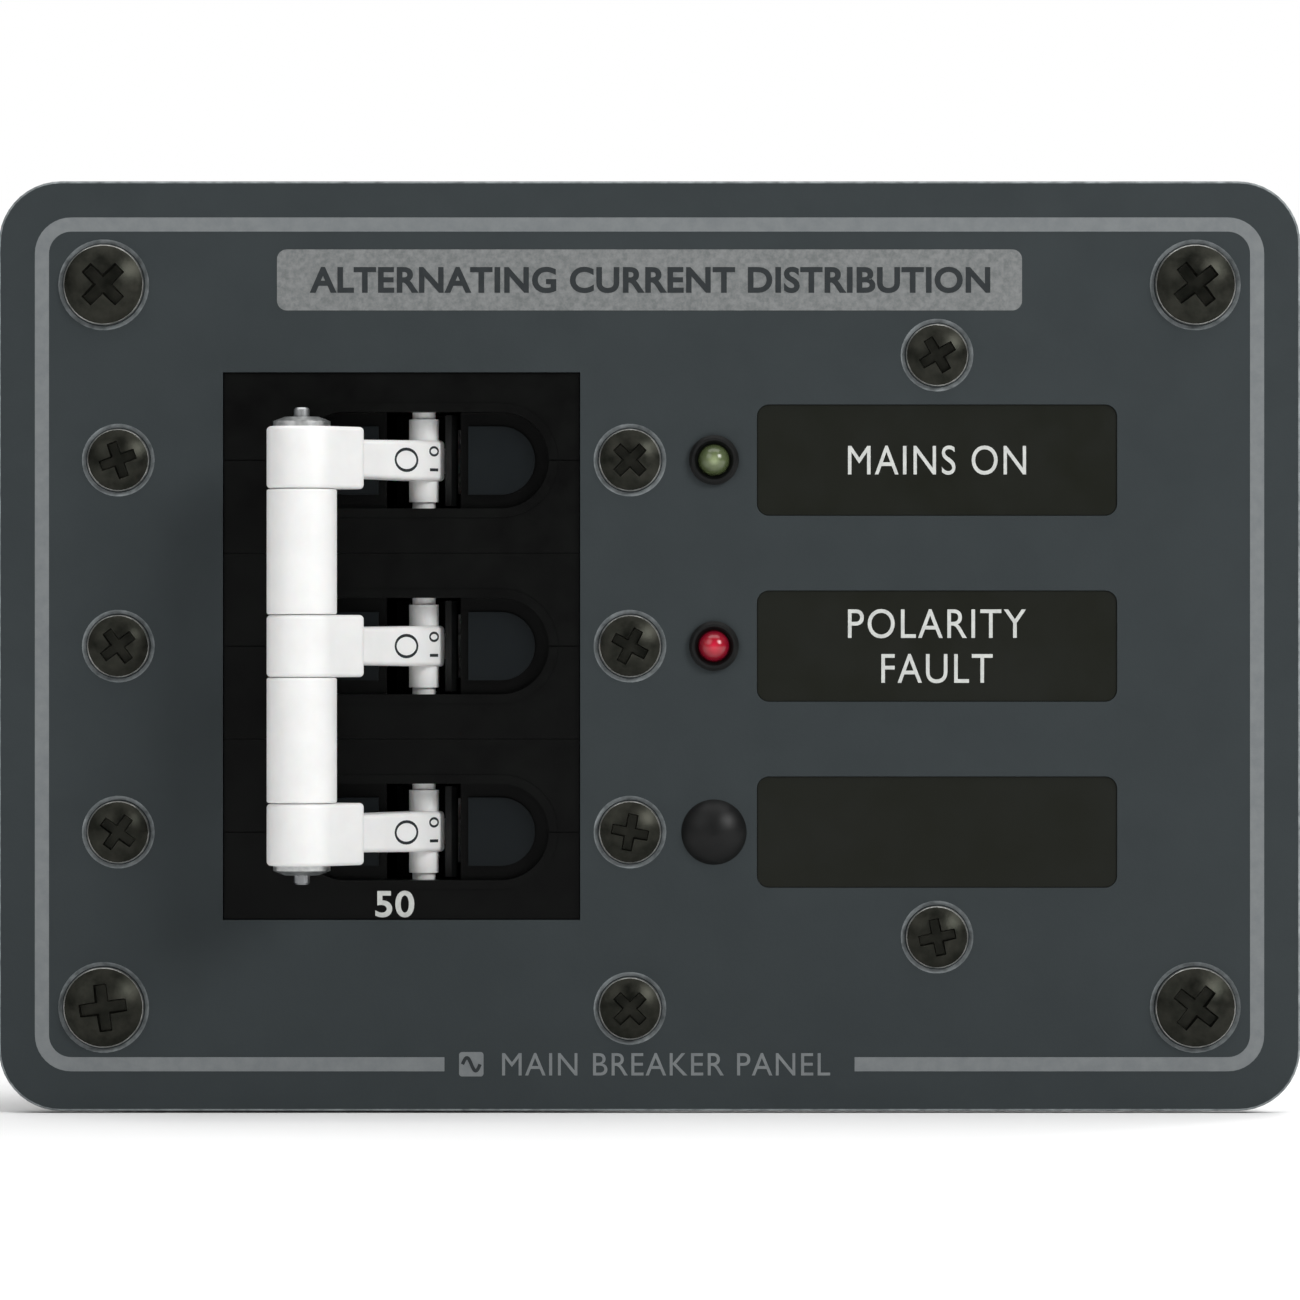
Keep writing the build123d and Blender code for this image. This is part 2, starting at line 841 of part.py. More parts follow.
def case_half(pole, side):
    """One half of a pole's case, from the middle plane out to the upper or lower side."""
    nose_left = window_x - window_width / 2 + window_clearance
    nose_right = window_x + window_width / 2 - window_clearance
    reach = nose_side(pole, side)
    shell = block(case_left, case_right, 0, case_depth, 0, pole_half)
    edges = shell.edges().filter_by(Axis.Y).group_by(Axis.Z)[-1]
    shell = fillet(edges, case_edge_radius)
    shell += block(nose_left, nose_right, nose_front, 0, 0, reach)
    rim = SlotOverall(recess_length + 2 * recess_rim_width, recess_height + 2 * recess_rim_width)
    rim_solid = slab(Pos(pivot_x, 0) * rim, nose_front - recess_rim_height, nose_front)
    shell += rim_solid & block(case_left, case_right, nose_front - 1, 0, 0, reach)
    shell -= block(
        case_left + case_wall,
        case_right - case_wall,
        case_front_wall,
        back_inside,
        -1,
        cavity_half,
    )
    for x in breaker_screw_places:
        shell += block(
            x - insert_boss_side,
            x + insert_boss_side,
            case_front_wall,
            insert_boss_depth,
            0,
            cavity_half,
        ) & block(case_left, case_right, 0, case_depth, 0, pole_half)
    cheek = block(
        pivot_x - pocket_half_width,
        pivot_x + pocket_half_width,
        case_front_wall,
        case_front_wall + cheek_depth,
        recess_height / 2,
        cavity_half,
    )
    shell += cheek
    for x, y in rivet_places:
        shell += rod_z(x, y, rivet_radius + rivet_boss_wall, 0, cavity_half)
    boss_start = cavity_half - carrier_boss_height
    shell += rod_z(pivot_x, carrier_y, carrier_pin_radius + rivet_boss_wall, boss_start, cavity_half)
    return cut_case(shell) if side > 0 else mirror(cut_case(shell), about=Plane.XY)


def cut_case(shell):
    """Everything that is cut from a case half."""
    top = pole_half + 1
    recess = slab(
        Pos(pivot_x, 0) * SlotOverall(recess_length, recess_height), nose_front - 1, recess_floor
    )
    pocket = block(
        pivot_x - pocket_half_width,
        pivot_x + pocket_half_width,
        nose_front - 1,
        case_front_wall + pocket_beyond_wall,
        -recess_height / 2,
        recess_height / 2,
    )
    shell -= recess
    shell += recess_island()
    shell -= pocket
    shell -= block(
        case_left,
        case_right,
        nose_front - 1,
        nose_front + seam_depth,
        -1,
        seam_width / 2,
    )
    shell -= rod_z(
        pivot_x,
        pivot_y,
        trunnion_radius + running_clearance,
        0,
        trunnion_end + trunnion_end_clearance,
    )
    shell -= rod_z(pivot_x, carrier_y, carrier_pin_radius, 0, cavity_half + carrier_pin_socket)
    for x in breaker_screw_places:
        shell -= rod_y(x, 0, insert_radius, -1, insert_length)
    for x, y in rivet_places:
        shell -= rod_z(x, y, rivet_radius + rivet_clearance, -1, top)
    for reach in (line_stud_from_pivot, load_stud_from_pivot):
        shell -= rod_y(
            pivot_x + reach,
            0,
            stud_radius + stud_hole_clearance,
            back_inside - 1,
            case_depth + 1,
        )
    return shell


def recess_island():
    """The raised floor at both ends of the toggle recess, as far as the upper half has it."""
    inset = 2 * island_ring_width
    island = SlotOverall(recess_length - inset, recess_height - inset)
    island -= Rectangle(2 * island_from_pivot, recess_height)
    raised = slab(Pos(pivot_x, 0) * island, recess_floor - island_height, recess_floor)
    return raised & block(case_left, case_right, nose_front, 0, 0, pole_half)


def case_rivets():
    """The long rivets that clamp the three poles together."""
    rivets = []
    side = stack_half - pole_gap / 2
    for x, y in rivet_places:
        rivet = rod_z(x, y, rivet_radius, -side - rivet_head_height, side + rivet_head_height)
        for end in (-1, 1):
            z0 = min(end * side, end * (side + rivet_head_height))
            head = rod_z(x, y, rivet_head_radius, z0, z0 + rivet_head_height)
            outer = head.edges().filter_by(GeomType.CIRCLE).sort_by(Axis.Z)[-1 if end > 0 else 0]
            rivet += fillet(outer, rivet_head_height / 2)
        rivets.append(rivet)
    return group(rivets)


def mounting_inserts():
    """The threaded inserts in the case that the breaker screws turn into."""
    inserts = []
    for x in breaker_screw_places:
        for z in pole_heights:
            sleeve = rod_y(x, z, insert_radius, 0, insert_length)
            sleeve -= rod_y(x, z, screw_radius + thread_clearance, -1, insert_length + 1)
            inserts.append(sleeve)
    return group(inserts)


# ---- terminals ---------------------------------------------------------------
def line_terminal(z):
    """The strap from the line stud to the fixed contact, with its contact pad."""
    half = strap_width / 2
    stud_x = pivot_x + line_stud_from_pivot
    riser_x = pivot_x + line_riser_from_pivot
    pad_front = fixed_contact_face()
    strap_front = pad_front + contact_pad_thickness
    pad_end = pivot_x + contact_arm_end
    pad_start = pad_end - contact_pad_length
    strap = block(
        riser_x, stud_x + strap_beyond_stud, back_inside - strap_thickness, back_inside, -half, half
    )
    strap += block(riser_x, riser_x + strap_thickness, strap_front, back_inside, -half, half)
    strap += block(
        pad_start - strap_before_pad,
        riser_x + strap_thickness,
        strap_front,
        strap_front + strap_thickness,
        -half,
        half,
    )
    strap += block(
        pad_start, pad_end, pad_front, strap_front, -contact_pad_width / 2, contact_pad_width / 2
    )
    strap -= rod_y(stud_x, 0, stud_radius + thread_clearance, back_inside - 3, back_inside + 1)
    return Pos(0, 0, z) * strap


def load_terminal(z):
    """The strap from the load stud to the coil's rear lead."""
    half = strap_width / 2
    stud_x = pivot_x + load_stud_from_pivot
    riser_x = case_left + case_wall + load_riser_from_wall
    top = back_inside - load_riser_top_from_back
    strap = block(
        riser_x, stud_x + strap_beyond_stud, back_inside - strap_thickness, back_inside, -half, half
    )
    strap += block(riser_x, riser_x + strap_thickness, top, back_inside, -half, half)
    strap -= rod_y(stud_x, 0, stud_radius + thread_clearance, back_inside - 3, back_inside + 1)
    return Pos(0, 0, z) * strap


def stud_places():
    """The six terminal studs, line side then load side."""
    places = []
    for reach in (line_stud_from_pivot, load_stud_from_pivot):
        for z in pole_heights:
            places.append((pivot_x + reach, z))
    return places


def terminal_studs():
    """The studs that wires are clamped to, each with its head inside the case."""
    studs = []
    head_front = back_inside - strap_thickness - stud_head_thickness
    nut_face = case_depth + stud_nut_thickness
    groove_radius = stud_radius - stud_groove_depth
    end = nut_face + stud_free_length
    for x, z in stud_places():
        profile = Polyline(
            (0, head_front),
            (stud_head_radius, head_front),
            (stud_head_radius, head_front + stud_head_thickness),
            (stud_radius, head_front + stud_head_thickness),
            (stud_radius, nut_face),
            (groove_radius, nut_face),
            (groove_radius, nut_face + stud_groove_width),
            (stud_radius, nut_face + stud_groove_width),
            (stud_radius, end - stud_end_chamfer),
            (stud_radius - stud_end_chamfer, end),
            (0, end),
            (0, head_front),
        )
        studs.append(turned(make_face(profile), x, z))
    return group(studs)


def terminal_nuts():
    """The nut on each terminal stud."""
    bore = stud_radius + thread_clearance
    end = case_depth + stud_nut_thickness
    return group(
        hex_nut(x, z, stud_nut_across_flats, bore, case_depth, end) for x, z in stud_places()
    )


# ---- trip unit ---------------------------------------------------------------
def coil(z):
    """The series coil: a close winding with a lead at each end."""
    winding = Pos(coil_x, 0, 0) * ridged_sleeve(tube_radius + tube_fit, coil_wire, coil_turns, coil_front)
    centre = tube_radius + tube_fit + coil_wire / 2
    half = coil_lead_width / 2
    riser_x = case_left + case_wall + load_riser_from_wall + strap_thickness
    rear = magnet_base_front - coil_wire
    winding += block(riser_x, coil_x - centre, rear - half, rear + half, -half, half)
    front_x = coil_x - centre - coil_wire - coil_lead_beyond_coil
    lead_front = coil_front + coil_lead_setback
    lead_back = lead_front + coil_lead_width
    winding += block(front_x, coil_x - centre, lead_front, lead_back, -half, half)
    winding += block(
        front_x, front_x + coil_lead_width, lead_front - coil_lead_rise, lead_back, -half, half
    )
    return Pos(0, 0, z) * winding


def delay_tubes():
    """The sealed tubes that the coils are wound on, each with a pole cap."""
    tubes = []
    for z in pole_heights:
        tube = rod_y(coil_x, z, tube_radius, tube_front, magnet_base_front)
        tube += rod_y(coil_x, z, tube_cap_radius, tube_front, tube_front + tube_cap_thickness)
        tubes.append(tube)
    return group(tubes)


def magnet_frame(z):
    """The bent steel frame that carries the tube and the armature's hinge."""
    left = coil_x - magnet_base_reach_left
    leg_x = hinge_x - magnet_sheet / 2
    frame = block(
        left,
        leg_x + magnet_sheet,
        magnet_base_front,
        magnet_base_front + magnet_sheet,
        -cavity_half,
        cavity_half,
    )
    half = armature_width / 2
    ear_inside = half + armature_ear_gap
    ear_outside = ear_inside + armature_ear_thickness
    leg_front = hinge_y + armature_ear_radius
    frame += block(leg_x, leg_x + magnet_sheet, leg_front, magnet_base_front, -ear_outside, ear_outside)
    for side in (-1, 1):
        z0 = min(side * ear_inside, side * ear_outside)
        ear = rod_z(hinge_x, hinge_y, armature_ear_radius, z0, z0 + armature_ear_thickness)
        ear += block(
            hinge_x - armature_ear_radius,
            hinge_x + armature_ear_radius,
            hinge_y,
            leg_front + 1,
            z0,
            z0 + armature_ear_thickness,
        )
        ear -= rod_z(
            hinge_x,
            hinge_y,
            armature_pin_radius + running_clearance,
            z0 - 1,
            z0 + armature_ear_thickness + 1,
        )
        frame += ear
    return Pos(0, 0, z) * frame


def armatures():
    """The hinged plates that the coils pull down to trip the breaker."""
    plates = []
    half = armature_width / 2
    pin_end = half + armature_ear_gap + armature_ear_thickness
    for z in pole_heights:
        plate = block(
            hinge_x - armature_reach_left,
            hinge_x + armature_reach_right,
            armature_face - magnet_sheet,
            armature_face,
            -half,
            half,
        )
        plate += rod_z(hinge_x, hinge_y, armature_barrel_radius, -half, half)
        plate += rod_z(hinge_x, hinge_y, armature_pin_radius, -pin_end, pin_end)
        plates.append(Pos(0, 0, z) * plate)
    return group(plates)


# ---- contact gear ------------------------------------------------------------
def fixed_contact_face():
    """The depth of the fixed contact's face when the breaker is on."""
    arm_back = carrier_y + contact_leg_below + contact_arm_thickness
    return arm_back + contact_pad_thickness + contact_gap


def contact_carrier(z):
    """The bell crank that the handle turns, drawn with the breaker on."""
    half = carrier_width / 2
    pin_far = math.hypot(
        crank_radius * math.sin(math.radians(handle_tilt)),
        carrier_drop - crank_radius * math.cos(math.radians(handle_tilt)),
    )
    pin_near = carrier_drop - crank_radius
    fork_end = pin_far + fork_reach_beyond_pin
    slot_half = crank_pin_radius + crank_slot_clearance
    fork_half = slot_half + fork_prong
    arms = block(-fork_half, fork_half, -fork_end, 0, -half, half)
    arms -= block(
        -slot_half,
        slot_half,
        -fork_end - 1,
        -pin_near + crank_pin_radius + crank_slot_clearance,
        -half - 1,
        half + 1,
    )
    side = fork_half + 1
    arms -= block(-side, side, -fork_end - 1, -carrier_hub_radius, -fork_gap / 2, fork_gap / 2)
    carrier = Rot(0, 0, carrier_half_swing) * arms
    carrier += Cylinder(carrier_hub_radius, carrier_width)
    carrier += block(0, contact_leg_length, -contact_leg_above, contact_leg_below, -half, half)
    carrier -= Cylinder(carrier_pin_radius + running_clearance, carrier_width + 2)
    return Pos(pivot_x, carrier_y, z) * carrier


def contact_arm(z):
    """The moving contact: a strip on the carrier with a pad at its end."""
    half = contact_arm_width / 2
    pad_half = contact_pad_width / 2
    back = contact_leg_below + contact_arm_thickness
    pad_start = contact_arm_end - contact_pad_length
    strip = block(contact_arm_start, contact_arm_end, contact_leg_below, back, -half, half)
    strip += block(pad_start, contact_arm_end, back, back + contact_pad_thickness, -pad_half, pad_half)
    return Pos(pivot_x, carrier_y, z) * strip


def carrier_pins():
    """The pins that the contact carriers turn on."""
    end = cavity_half + carrier_pin_socket
    return group(rod_z(pivot_x, carrier_y, carrier_pin_radius, z - end, z + end) for z in pole_heights)


def carrier_springs():
    """The coils of the springs beside the carriers; they stay with the case."""
    springs = []
    winding = ridged_sleeve(
        carrier_pin_radius + running_clearance, carrier_spring_wire, carrier_spring_turns, 0
    )
    for z in pole_heights:
        springs.append(Pos(pivot_x, carrier_y, z + carrier_spring_start) * Rot(90, 0, 0) * winding)
    return group(springs)


def arc_chutes():
    """The stacks of notched steel plates that cool the arc, between two boards."""
    pieces = []
    x0 = pivot_x + chute_from_pivot
    x1 = x0 + chute_width
    plate_half = cavity_half - chute_board_thickness
    span = (chute_plate_count - 1) * chute_plate_pitch + chute_plate_thickness
    for z in pole_heights:
        for side in (-1, 1):
            z0 = z + min(side * plate_half, side * cavity_half)
            y0 = chute_front - chute_board_margin
            y1 = chute_front + span + chute_board_margin
            pieces.append(block(x0, x1, y0, y1, z0, z0 + chute_board_thickness))
        for i in range(chute_plate_count):
            y0 = chute_front + i * chute_plate_pitch
            y1 = y0 + chute_plate_thickness
            plate = block(x0, x1, y0, y1, z - plate_half, z + plate_half)
            notch = Pos(x0, z) * Rot(0, 0, 45) * Rectangle(chute_notch, chute_notch)
            plate -= slab(notch, y0 - 1, y1 + 1)
            pieces.append(plate)
    return group(pieces)


# ---- toggle handles ----------------------------------------------------------
def handle(z):
    """A toggle handle with its trunnions and crank, drawn upright and then tilted."""
    root = lever_root_width / 2
    tip = lever_tip_width / 2
    half_t = lever_thickness / 2
    side_view = make_face(
        Polyline(
            (-half_t, lever_root_overlap),
            (-half_t, -head_start - 1),
            (half_t, -head_start - 1),
            (half_t, lever_root_overlap),
            (-half_t, lever_root_overlap),
        )
    )
    lever = prism(side_view, -root, root)
    taper = make_face(
        Polyline(
            (lever_root_overlap, -root),
            (-head_start - 1, -tip),
            (-head_start - 1, tip),
            (lever_root_overlap, root),
            (lever_root_overlap, -root),
        )
    )
    lever = lever & (Pos(-half_t - 1, 0, 0) * extrude(Plane.YZ * taper, amount=lever_thickness + 2))
    lever = fillet(lever.edges().filter_by(lambda e: abs((e % 0.5).Y) > 0.9), lever_rounding)
    half_head = head_length_on_bar / 2
    head = block(-eye_radius, eye_radius, -eye_distance, -head_start, -half_head, half_head)
    head += rod_z(0, -eye_distance, eye_radius, -half_head, half_head)
    foot = head.edges().filter_by(Axis.Z).sort_by(Axis.Y)[-2:]
    head = fillet(foot, head_foot_rounding)
    rims = head.faces().filter_by(Axis.Z).edges()
    head = fillet(rims, head_rounding)
    piece = lever + head
    piece += rod_z(0, 0, hub_radius, -hub_length / 2, hub_length / 2)
    piece += rod_z(0, 0, trunnion_radius, -trunnion_end, trunnion_end)
    arm_half = crank_arm_width / 2
    arm_z = crank_arm_thickness / 2
    piece += block(-arm_half, arm_half, 0, crank_radius, -arm_z, arm_z)
    piece += rod_z(0, crank_radius, arm_half, -arm_z, arm_z)
    piece += rod_z(0, crank_radius, crank_pin_radius, -crank_pin_length / 2, crank_pin_length / 2)
    eye = tie_rod_radius + tie_rod_clearance
    piece -= rod_z(0, -eye_distance, eye, -half_head - 1, half_head + 1)
    return Pos(pivot_x, pivot_y, z) * Rot(0, 0, -handle_tilt) * piece


def dust_shield(z):
    """The curved shield behind a handle's hub, pierced by the crank arm."""
    outer = pocket_half_width - shield_clearance
    inner = outer - shield_wall
    half = recess_height / 2 - shield_end_clearance
    ring = Circle(outer) - Circle(inner)
    trough = ring & (Pos(0, outer) * Rectangle(4 * outer, 2 * outer))
    shield = prism(trough, -half, half)
    arm_half = crank_arm_width / 2
    arm_z = crank_arm_thickness / 2
    shield -= block(-arm_half, arm_half, 0, crank_radius, -arm_z, arm_z)
    return Pos(pivot_x, pivot_y, z) * Rot(0, 0, -handle_tilt) * shield


def on_the_bar(shape):
    """Move a piece drawn about Z onto the tie bar's line, with the breaker on."""
    angle = math.radians(handle_tilt)
    x = pivot_x - eye_distance * math.sin(angle)
    y = pivot_y - eye_distance * math.cos(angle)
    return Pos(x, y, 0) * shape


def tie_rod():
    """The steel rod through the three handles."""
    end = pole_pitch + head_length_on_bar / 2 + tie_rod_overhang
    rod = Cylinder(tie_rod_radius, 2 * end)
    rod = chamfer(rod.edges().filter_by(GeomType.CIRCLE), tie_rod_chamfer)
    return on_the_bar(rod)


def handle_spacer(side):
    """A sleeve on the tie rod between two handles, above or below the middle one."""
    length = pole_pitch - head_length_on_bar - 2 * spacer_end_clearance
    sleeve = Cylinder(eye_radius, length)
    sleeve = fillet(sleeve.edges().filter_by(GeomType.CIRCLE), spacer_edge_rounding)
    sleeve -= Cylinder(tie_rod_radius + tie_rod_clearance, length + 2)
    return on_the_bar(Pos(0, 0, side * pole_pitch / 2) * sleeve)


def tie_rod_retainers():
    """The push-on rings that hold the tie rod at both ends."""
    rings = []
    start = pole_pitch + head_length_on_bar / 2
    inner = tie_rod_radius + tie_rod_clearance
    for side in (-1, 1):
        profile = make_face(
            Polyline(
                (inner, retainer_dish),
                (retainer_flat_radius, retainer_dish),
                (retainer_radius, 0),
                (retainer_radius, retainer_thickness),
                (retainer_shoulder_radius, retainer_dish + retainer_thickness),
                (inner, retainer_dish + retainer_thickness),
                (inner, retainer_dish),
            )
        )
        ring = revolve(profile, Axis.Y)
        half = retainer_slot_width / 2
        for i in range(retainer_slots):
            slot = block(0, retainer_shoulder_radius, -1, 2, -half, half)
            ring -= Rot(0, i * 360 / retainer_slots, 0) * slot
        rings.append(on_the_bar(Pos(0, 0, side * start) * Rot(90 * side, 0, 0) * ring))
    return group(rings)


# ---- write every node --------------------------------------------------------
def write_poles():
    """The pieces that each of the three poles has."""
    for i, z in enumerate(pole_heights):
        name = i + 1
        save(f"pole_{name}_case_upper", Pos(0, 0, z) * case_half(i, 1))
        save(f"pole_{name}_case_lower", Pos(0, 0, z) * case_half(i, -1))
        save(f"handle_{name}", handle(z))
        save(f"line_terminal_{name}", line_terminal(z))
        save(f"load_terminal_{name}", load_terminal(z))
        save(f"coil_{name}", coil(z))
        save(f"magnet_frame_{name}", magnet_frame(z))


def write_panel():
    """The plate and what is fixed to it."""
    save("panel_plate", panel_plate())
    save("panel_mounting_screws", panel_mounting_screws())
    save("breaker_mounting_screws", breaker_mounting_screws())
    save("board_screws", board_screws())
    save("earth_screw", earth_screw())
    save("rear_hex_nuts", rear_hex_nuts())
    save("earth_washer", earth_washer())
    save("label_window_upper", label_window(pole_heights[0]))
    save("label_window_middle", label_window(pole_heights[1]))
    save("label_window_lower", label_window(pole_heights[2]))
    save("light_guide", light_guide())
    save("power_indicator_lamp", indicator_lamp(pole_heights[0]))
    save("polarity_indicator_lamp", indicator_lamp(pole_heights[1]))
    save("indicator_bezels", indicator_bezels())
    save("blanking_plug", blanking_plug())


def write_board():
    """The indicator board and what it carries."""
    save("board_standoffs", board_standoffs())
    save("indicator_board", indicator_board())
    save("lamp_leads", lamp_leads())
    save("backlight_leds", backlight_leds())
    save("dropper_resistors", dropper_resistors())
    save("smoothing_capacitor", smoothing_capacitor())
    save("board_terminal_block", board_terminal_block())
    save("board_terminal_screws", board_terminal_screws())


def write_breaker():
    """The pieces that the poles share, or have one of each in one node."""
    save("case_rivets", case_rivets())
    save("mounting_inserts", mounting_inserts())
    save("terminal_studs", terminal_studs())
    save("terminal_nuts", terminal_nuts())
    save("delay_tubes", delay_tubes())
    save("armatures", armatures())
    save("contact_carriers", group(contact_carrier(z) for z in pole_heights))
    save("contact_arms", group(contact_arm(z) for z in pole_heights))
    save("carrier_pins", carrier_pins())
    save("carrier_springs", carrier_springs())
    save("arc_chutes", arc_chutes())
    save("dust_shields", group(dust_shield(z) for z in pole_heights))
    save("tie_rod", tie_rod())
    save("handle_spacer_upper", handle_spacer(1))
    save("handle_spacer_lower", handle_spacer(-1))
    save("tie_rod_retainers", tie_rod_retainers())


os.makedirs("parts", exist_ok=True)
write_poles()
write_panel()
write_board()
write_breaker()
print("carrier follows the handle by", round(-carrier_half_swing / handle_tilt, 5))
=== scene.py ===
import json
import math

import bmesh
import bpy
from bpy.props import FloatProperty, FloatVectorProperty, StringProperty
from mathutils import Matrix, Vector


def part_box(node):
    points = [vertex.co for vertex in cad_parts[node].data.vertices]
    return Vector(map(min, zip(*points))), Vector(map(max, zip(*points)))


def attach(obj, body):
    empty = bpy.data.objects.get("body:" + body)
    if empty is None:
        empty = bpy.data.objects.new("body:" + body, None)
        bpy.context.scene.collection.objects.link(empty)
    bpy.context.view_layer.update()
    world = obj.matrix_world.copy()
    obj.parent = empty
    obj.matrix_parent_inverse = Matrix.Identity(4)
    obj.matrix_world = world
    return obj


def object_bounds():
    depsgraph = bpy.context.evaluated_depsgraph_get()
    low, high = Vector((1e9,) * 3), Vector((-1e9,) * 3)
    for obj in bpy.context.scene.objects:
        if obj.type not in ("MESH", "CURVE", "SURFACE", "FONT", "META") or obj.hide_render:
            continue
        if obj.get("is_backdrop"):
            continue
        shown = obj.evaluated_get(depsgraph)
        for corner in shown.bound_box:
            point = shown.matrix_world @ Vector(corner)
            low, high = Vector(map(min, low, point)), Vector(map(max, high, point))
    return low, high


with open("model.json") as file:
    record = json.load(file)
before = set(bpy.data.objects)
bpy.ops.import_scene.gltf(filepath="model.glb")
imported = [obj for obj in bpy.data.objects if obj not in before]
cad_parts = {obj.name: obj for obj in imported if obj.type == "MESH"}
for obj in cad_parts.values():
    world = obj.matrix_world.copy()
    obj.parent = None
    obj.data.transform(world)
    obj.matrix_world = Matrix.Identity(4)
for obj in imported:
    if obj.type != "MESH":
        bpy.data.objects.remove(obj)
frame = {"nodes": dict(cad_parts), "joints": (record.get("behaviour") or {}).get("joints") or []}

bl_info = {
    "name": "AC distribution panel",
    "version": (1, 0, 0),
    "blender": (4, 5, 0),
    "location": "3D View > Sidebar > Panel build",
    "description": "Printing, lettering and finishes of a three-pole breaker panel on its CAD frame",
    "category": "Object",
}

MM = 0.001

# how far print stands off the labels, the levers and the breaker
PRINT_THICKNESS = 0.03 * MM

# the numbered sockets of a colour mix node
MIX_UNDER, MIX_OVER, MIX_RESULT = 6, 7, 2

# ---- places read from the frame ----------------------------------------------
PLATE_LOW, PLATE_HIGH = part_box("panel_plate")
PLATE_FRONT = PLATE_LOW.y
JOINTS = {joint["name"]: joint for joint in frame["joints"]}
PIVOT = Vector(JOINTS["handle_throw"]["pos_m"])
POLES = [sum(corner.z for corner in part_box(f"handle_{i}")) / 2 for i in (1, 2, 3)]
# the raised floor of a toggle recess, behind the plate's face
RECESS_FLOOR = PLATE_FRONT + 2.2 * MM
LABEL_NODES = ["label_window_upper", "label_window_middle", "label_window_lower"]


# ---- colours and mesh helpers ------------------------------------------------
def linear(hex_colour):
    """A linear RGBA colour from an sRGB hex string."""
    channels = [int(hex_colour[i : i + 2], 16) / 255 for i in (1, 3, 5)]
    rgb = [c / 12.92 if c <= 0.04045 else ((c + 0.055) / 1.055) ** 2.4 for c in channels]
    return (*rgb, 1.0)


def per_mm(size):
    """A texture scale whose features are about this many millimetres across."""
    return 1.0 / (size * MM)


def add_node(tree, kind, settings=None, links=None):
    """Add one node, with its properties, input values and incoming links."""
    node = tree.nodes.new(kind)
    for name, value in (settings or {}).items():
        if isinstance(name, int) or name in node.inputs:
            node.inputs[name].default_value = value
        else:
            setattr(node, name, value)
    for name, source in (links or {}).items():
        tree.links.new(source, node.inputs[name])
    return node


def finish_mesh(name, shape, material, body, smooth=False):
    """Turn a bmesh into a piece that rides on a body."""
    bmesh.ops.recalc_face_normals(shape, faces=shape.faces)
    mesh = bpy.data.meshes.new(name)
    shape.to_mesh(mesh)
    shape.free()
    for polygon in mesh.polygons:
        polygon.use_smooth = smooth
    piece = bpy.data.objects.new(name, mesh)
    bpy.context.scene.collection.objects.link(piece)
    mesh.materials.append(material)
    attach(piece, body)
    return piece


def arc_points(centre_x, centre_z, radius, start, end, steps=10):
    """Points along an arc in X and Z, angles in degrees from +X towards +Z."""
    points = []
    for i in range(steps + 1):
        angle = math.radians(start + (end - start) * i / steps)
        points.append((centre_x + radius * math.cos(angle), centre_z + radius * math.sin(angle)))
    return points


def rounded_outline(x0, x1, z0, z1, radius):
    """The outline of a rectangle with round corners."""
    outline = arc_points(x1 - radius, z1 - radius, radius, 0, 90)
    outline += arc_points(x0 + radius, z1 - radius, radius, 90, 180)
    outline += arc_points(x0 + radius, z0 + radius, radius, 180, 270)
    outline += arc_points(x1 - radius, z0 + radius, radius, 270, 360)
    return outline


def add_ribbon(shape, centreline, width, front, back, closed=False):
    """A thin band of even width that follows a line in X and Z, as a closed solid."""
    count = len(centreline)
    rows = []
    for i, (x, z) in enumerate(centreline):
        before = centreline[i - 1] if i > 0 or closed else centreline[i]
        after = centreline[(i + 1) % count] if i < count - 1 or closed else centreline[i]
        run = Vector((after[0] - before[0], after[1] - before[1])).normalized()
        side = Vector((-run.y, run.x)) * width / 2
        row = []
        for sign, y in ((1, front), (-1, front), (-1, back), (1, back)):
            row.append(shape.verts.new((x + sign * side.x, y, z + sign * side.y)))
        rows.append(row)
    last = count if closed else count - 1
    for i in range(last):
        here = rows[i]
        there = rows[(i + 1) % count]
        for k in range(4):
            shape.faces.new((here[k], here[(k + 1) % 4], there[(k + 1) % 4], there[k]))
    if not closed:
        shape.faces.new(rows[0])
        shape.faces.new(rows[-1])


def add_plate(shape, outline, front, back):
    """A flat plate with a given outline in X and Z, as a closed solid."""
    near = [shape.verts.new((x, front, z)) for x, z in outline]
    far = [shape.verts.new((x, back, z)) for x, z in outline]
    count = len(outline)
    shape.faces.new(near)
    shape.faces.new(far)
    for i in range(count):
        k = (i + 1) % count
        shape.faces.new((near[i], near[k], far[k], far[i]))


def add_thread(shape, x, z, radius, y0, y1, pitch, height):
    """A screw thread's ridge, wound round the line along Y through x and z."""
    steps = 20
    turns = (y1 - y0 - pitch) / pitch
    total = int(steps * turns)
    rows = []
    for i in range(total + 1):
        angle = 2 * math.pi * i / steps
        y = y0 + pitch / 2 + pitch * i / steps
        fade = min(1.0, i / steps, (total - i) / steps)
        crest = radius + height * fade
        root = radius - height / 2
        row = []
        for r, dy in ((root, -0.4 * pitch), (crest, 0.0), (root, 0.4 * pitch)):
            row.append(shape.verts.new((x + r * math.cos(angle), y + dy, z + r * math.sin(angle))))
        rows.append(row)
    for here, there in zip(rows, rows[1:]):
        for k in range(3):
            shape.faces.new((here[k], here[(k + 1) % 3], there[(k + 1) % 3], there[k]))
    shape.faces.new(rows[0])
    shape.faces.new(rows[-1])


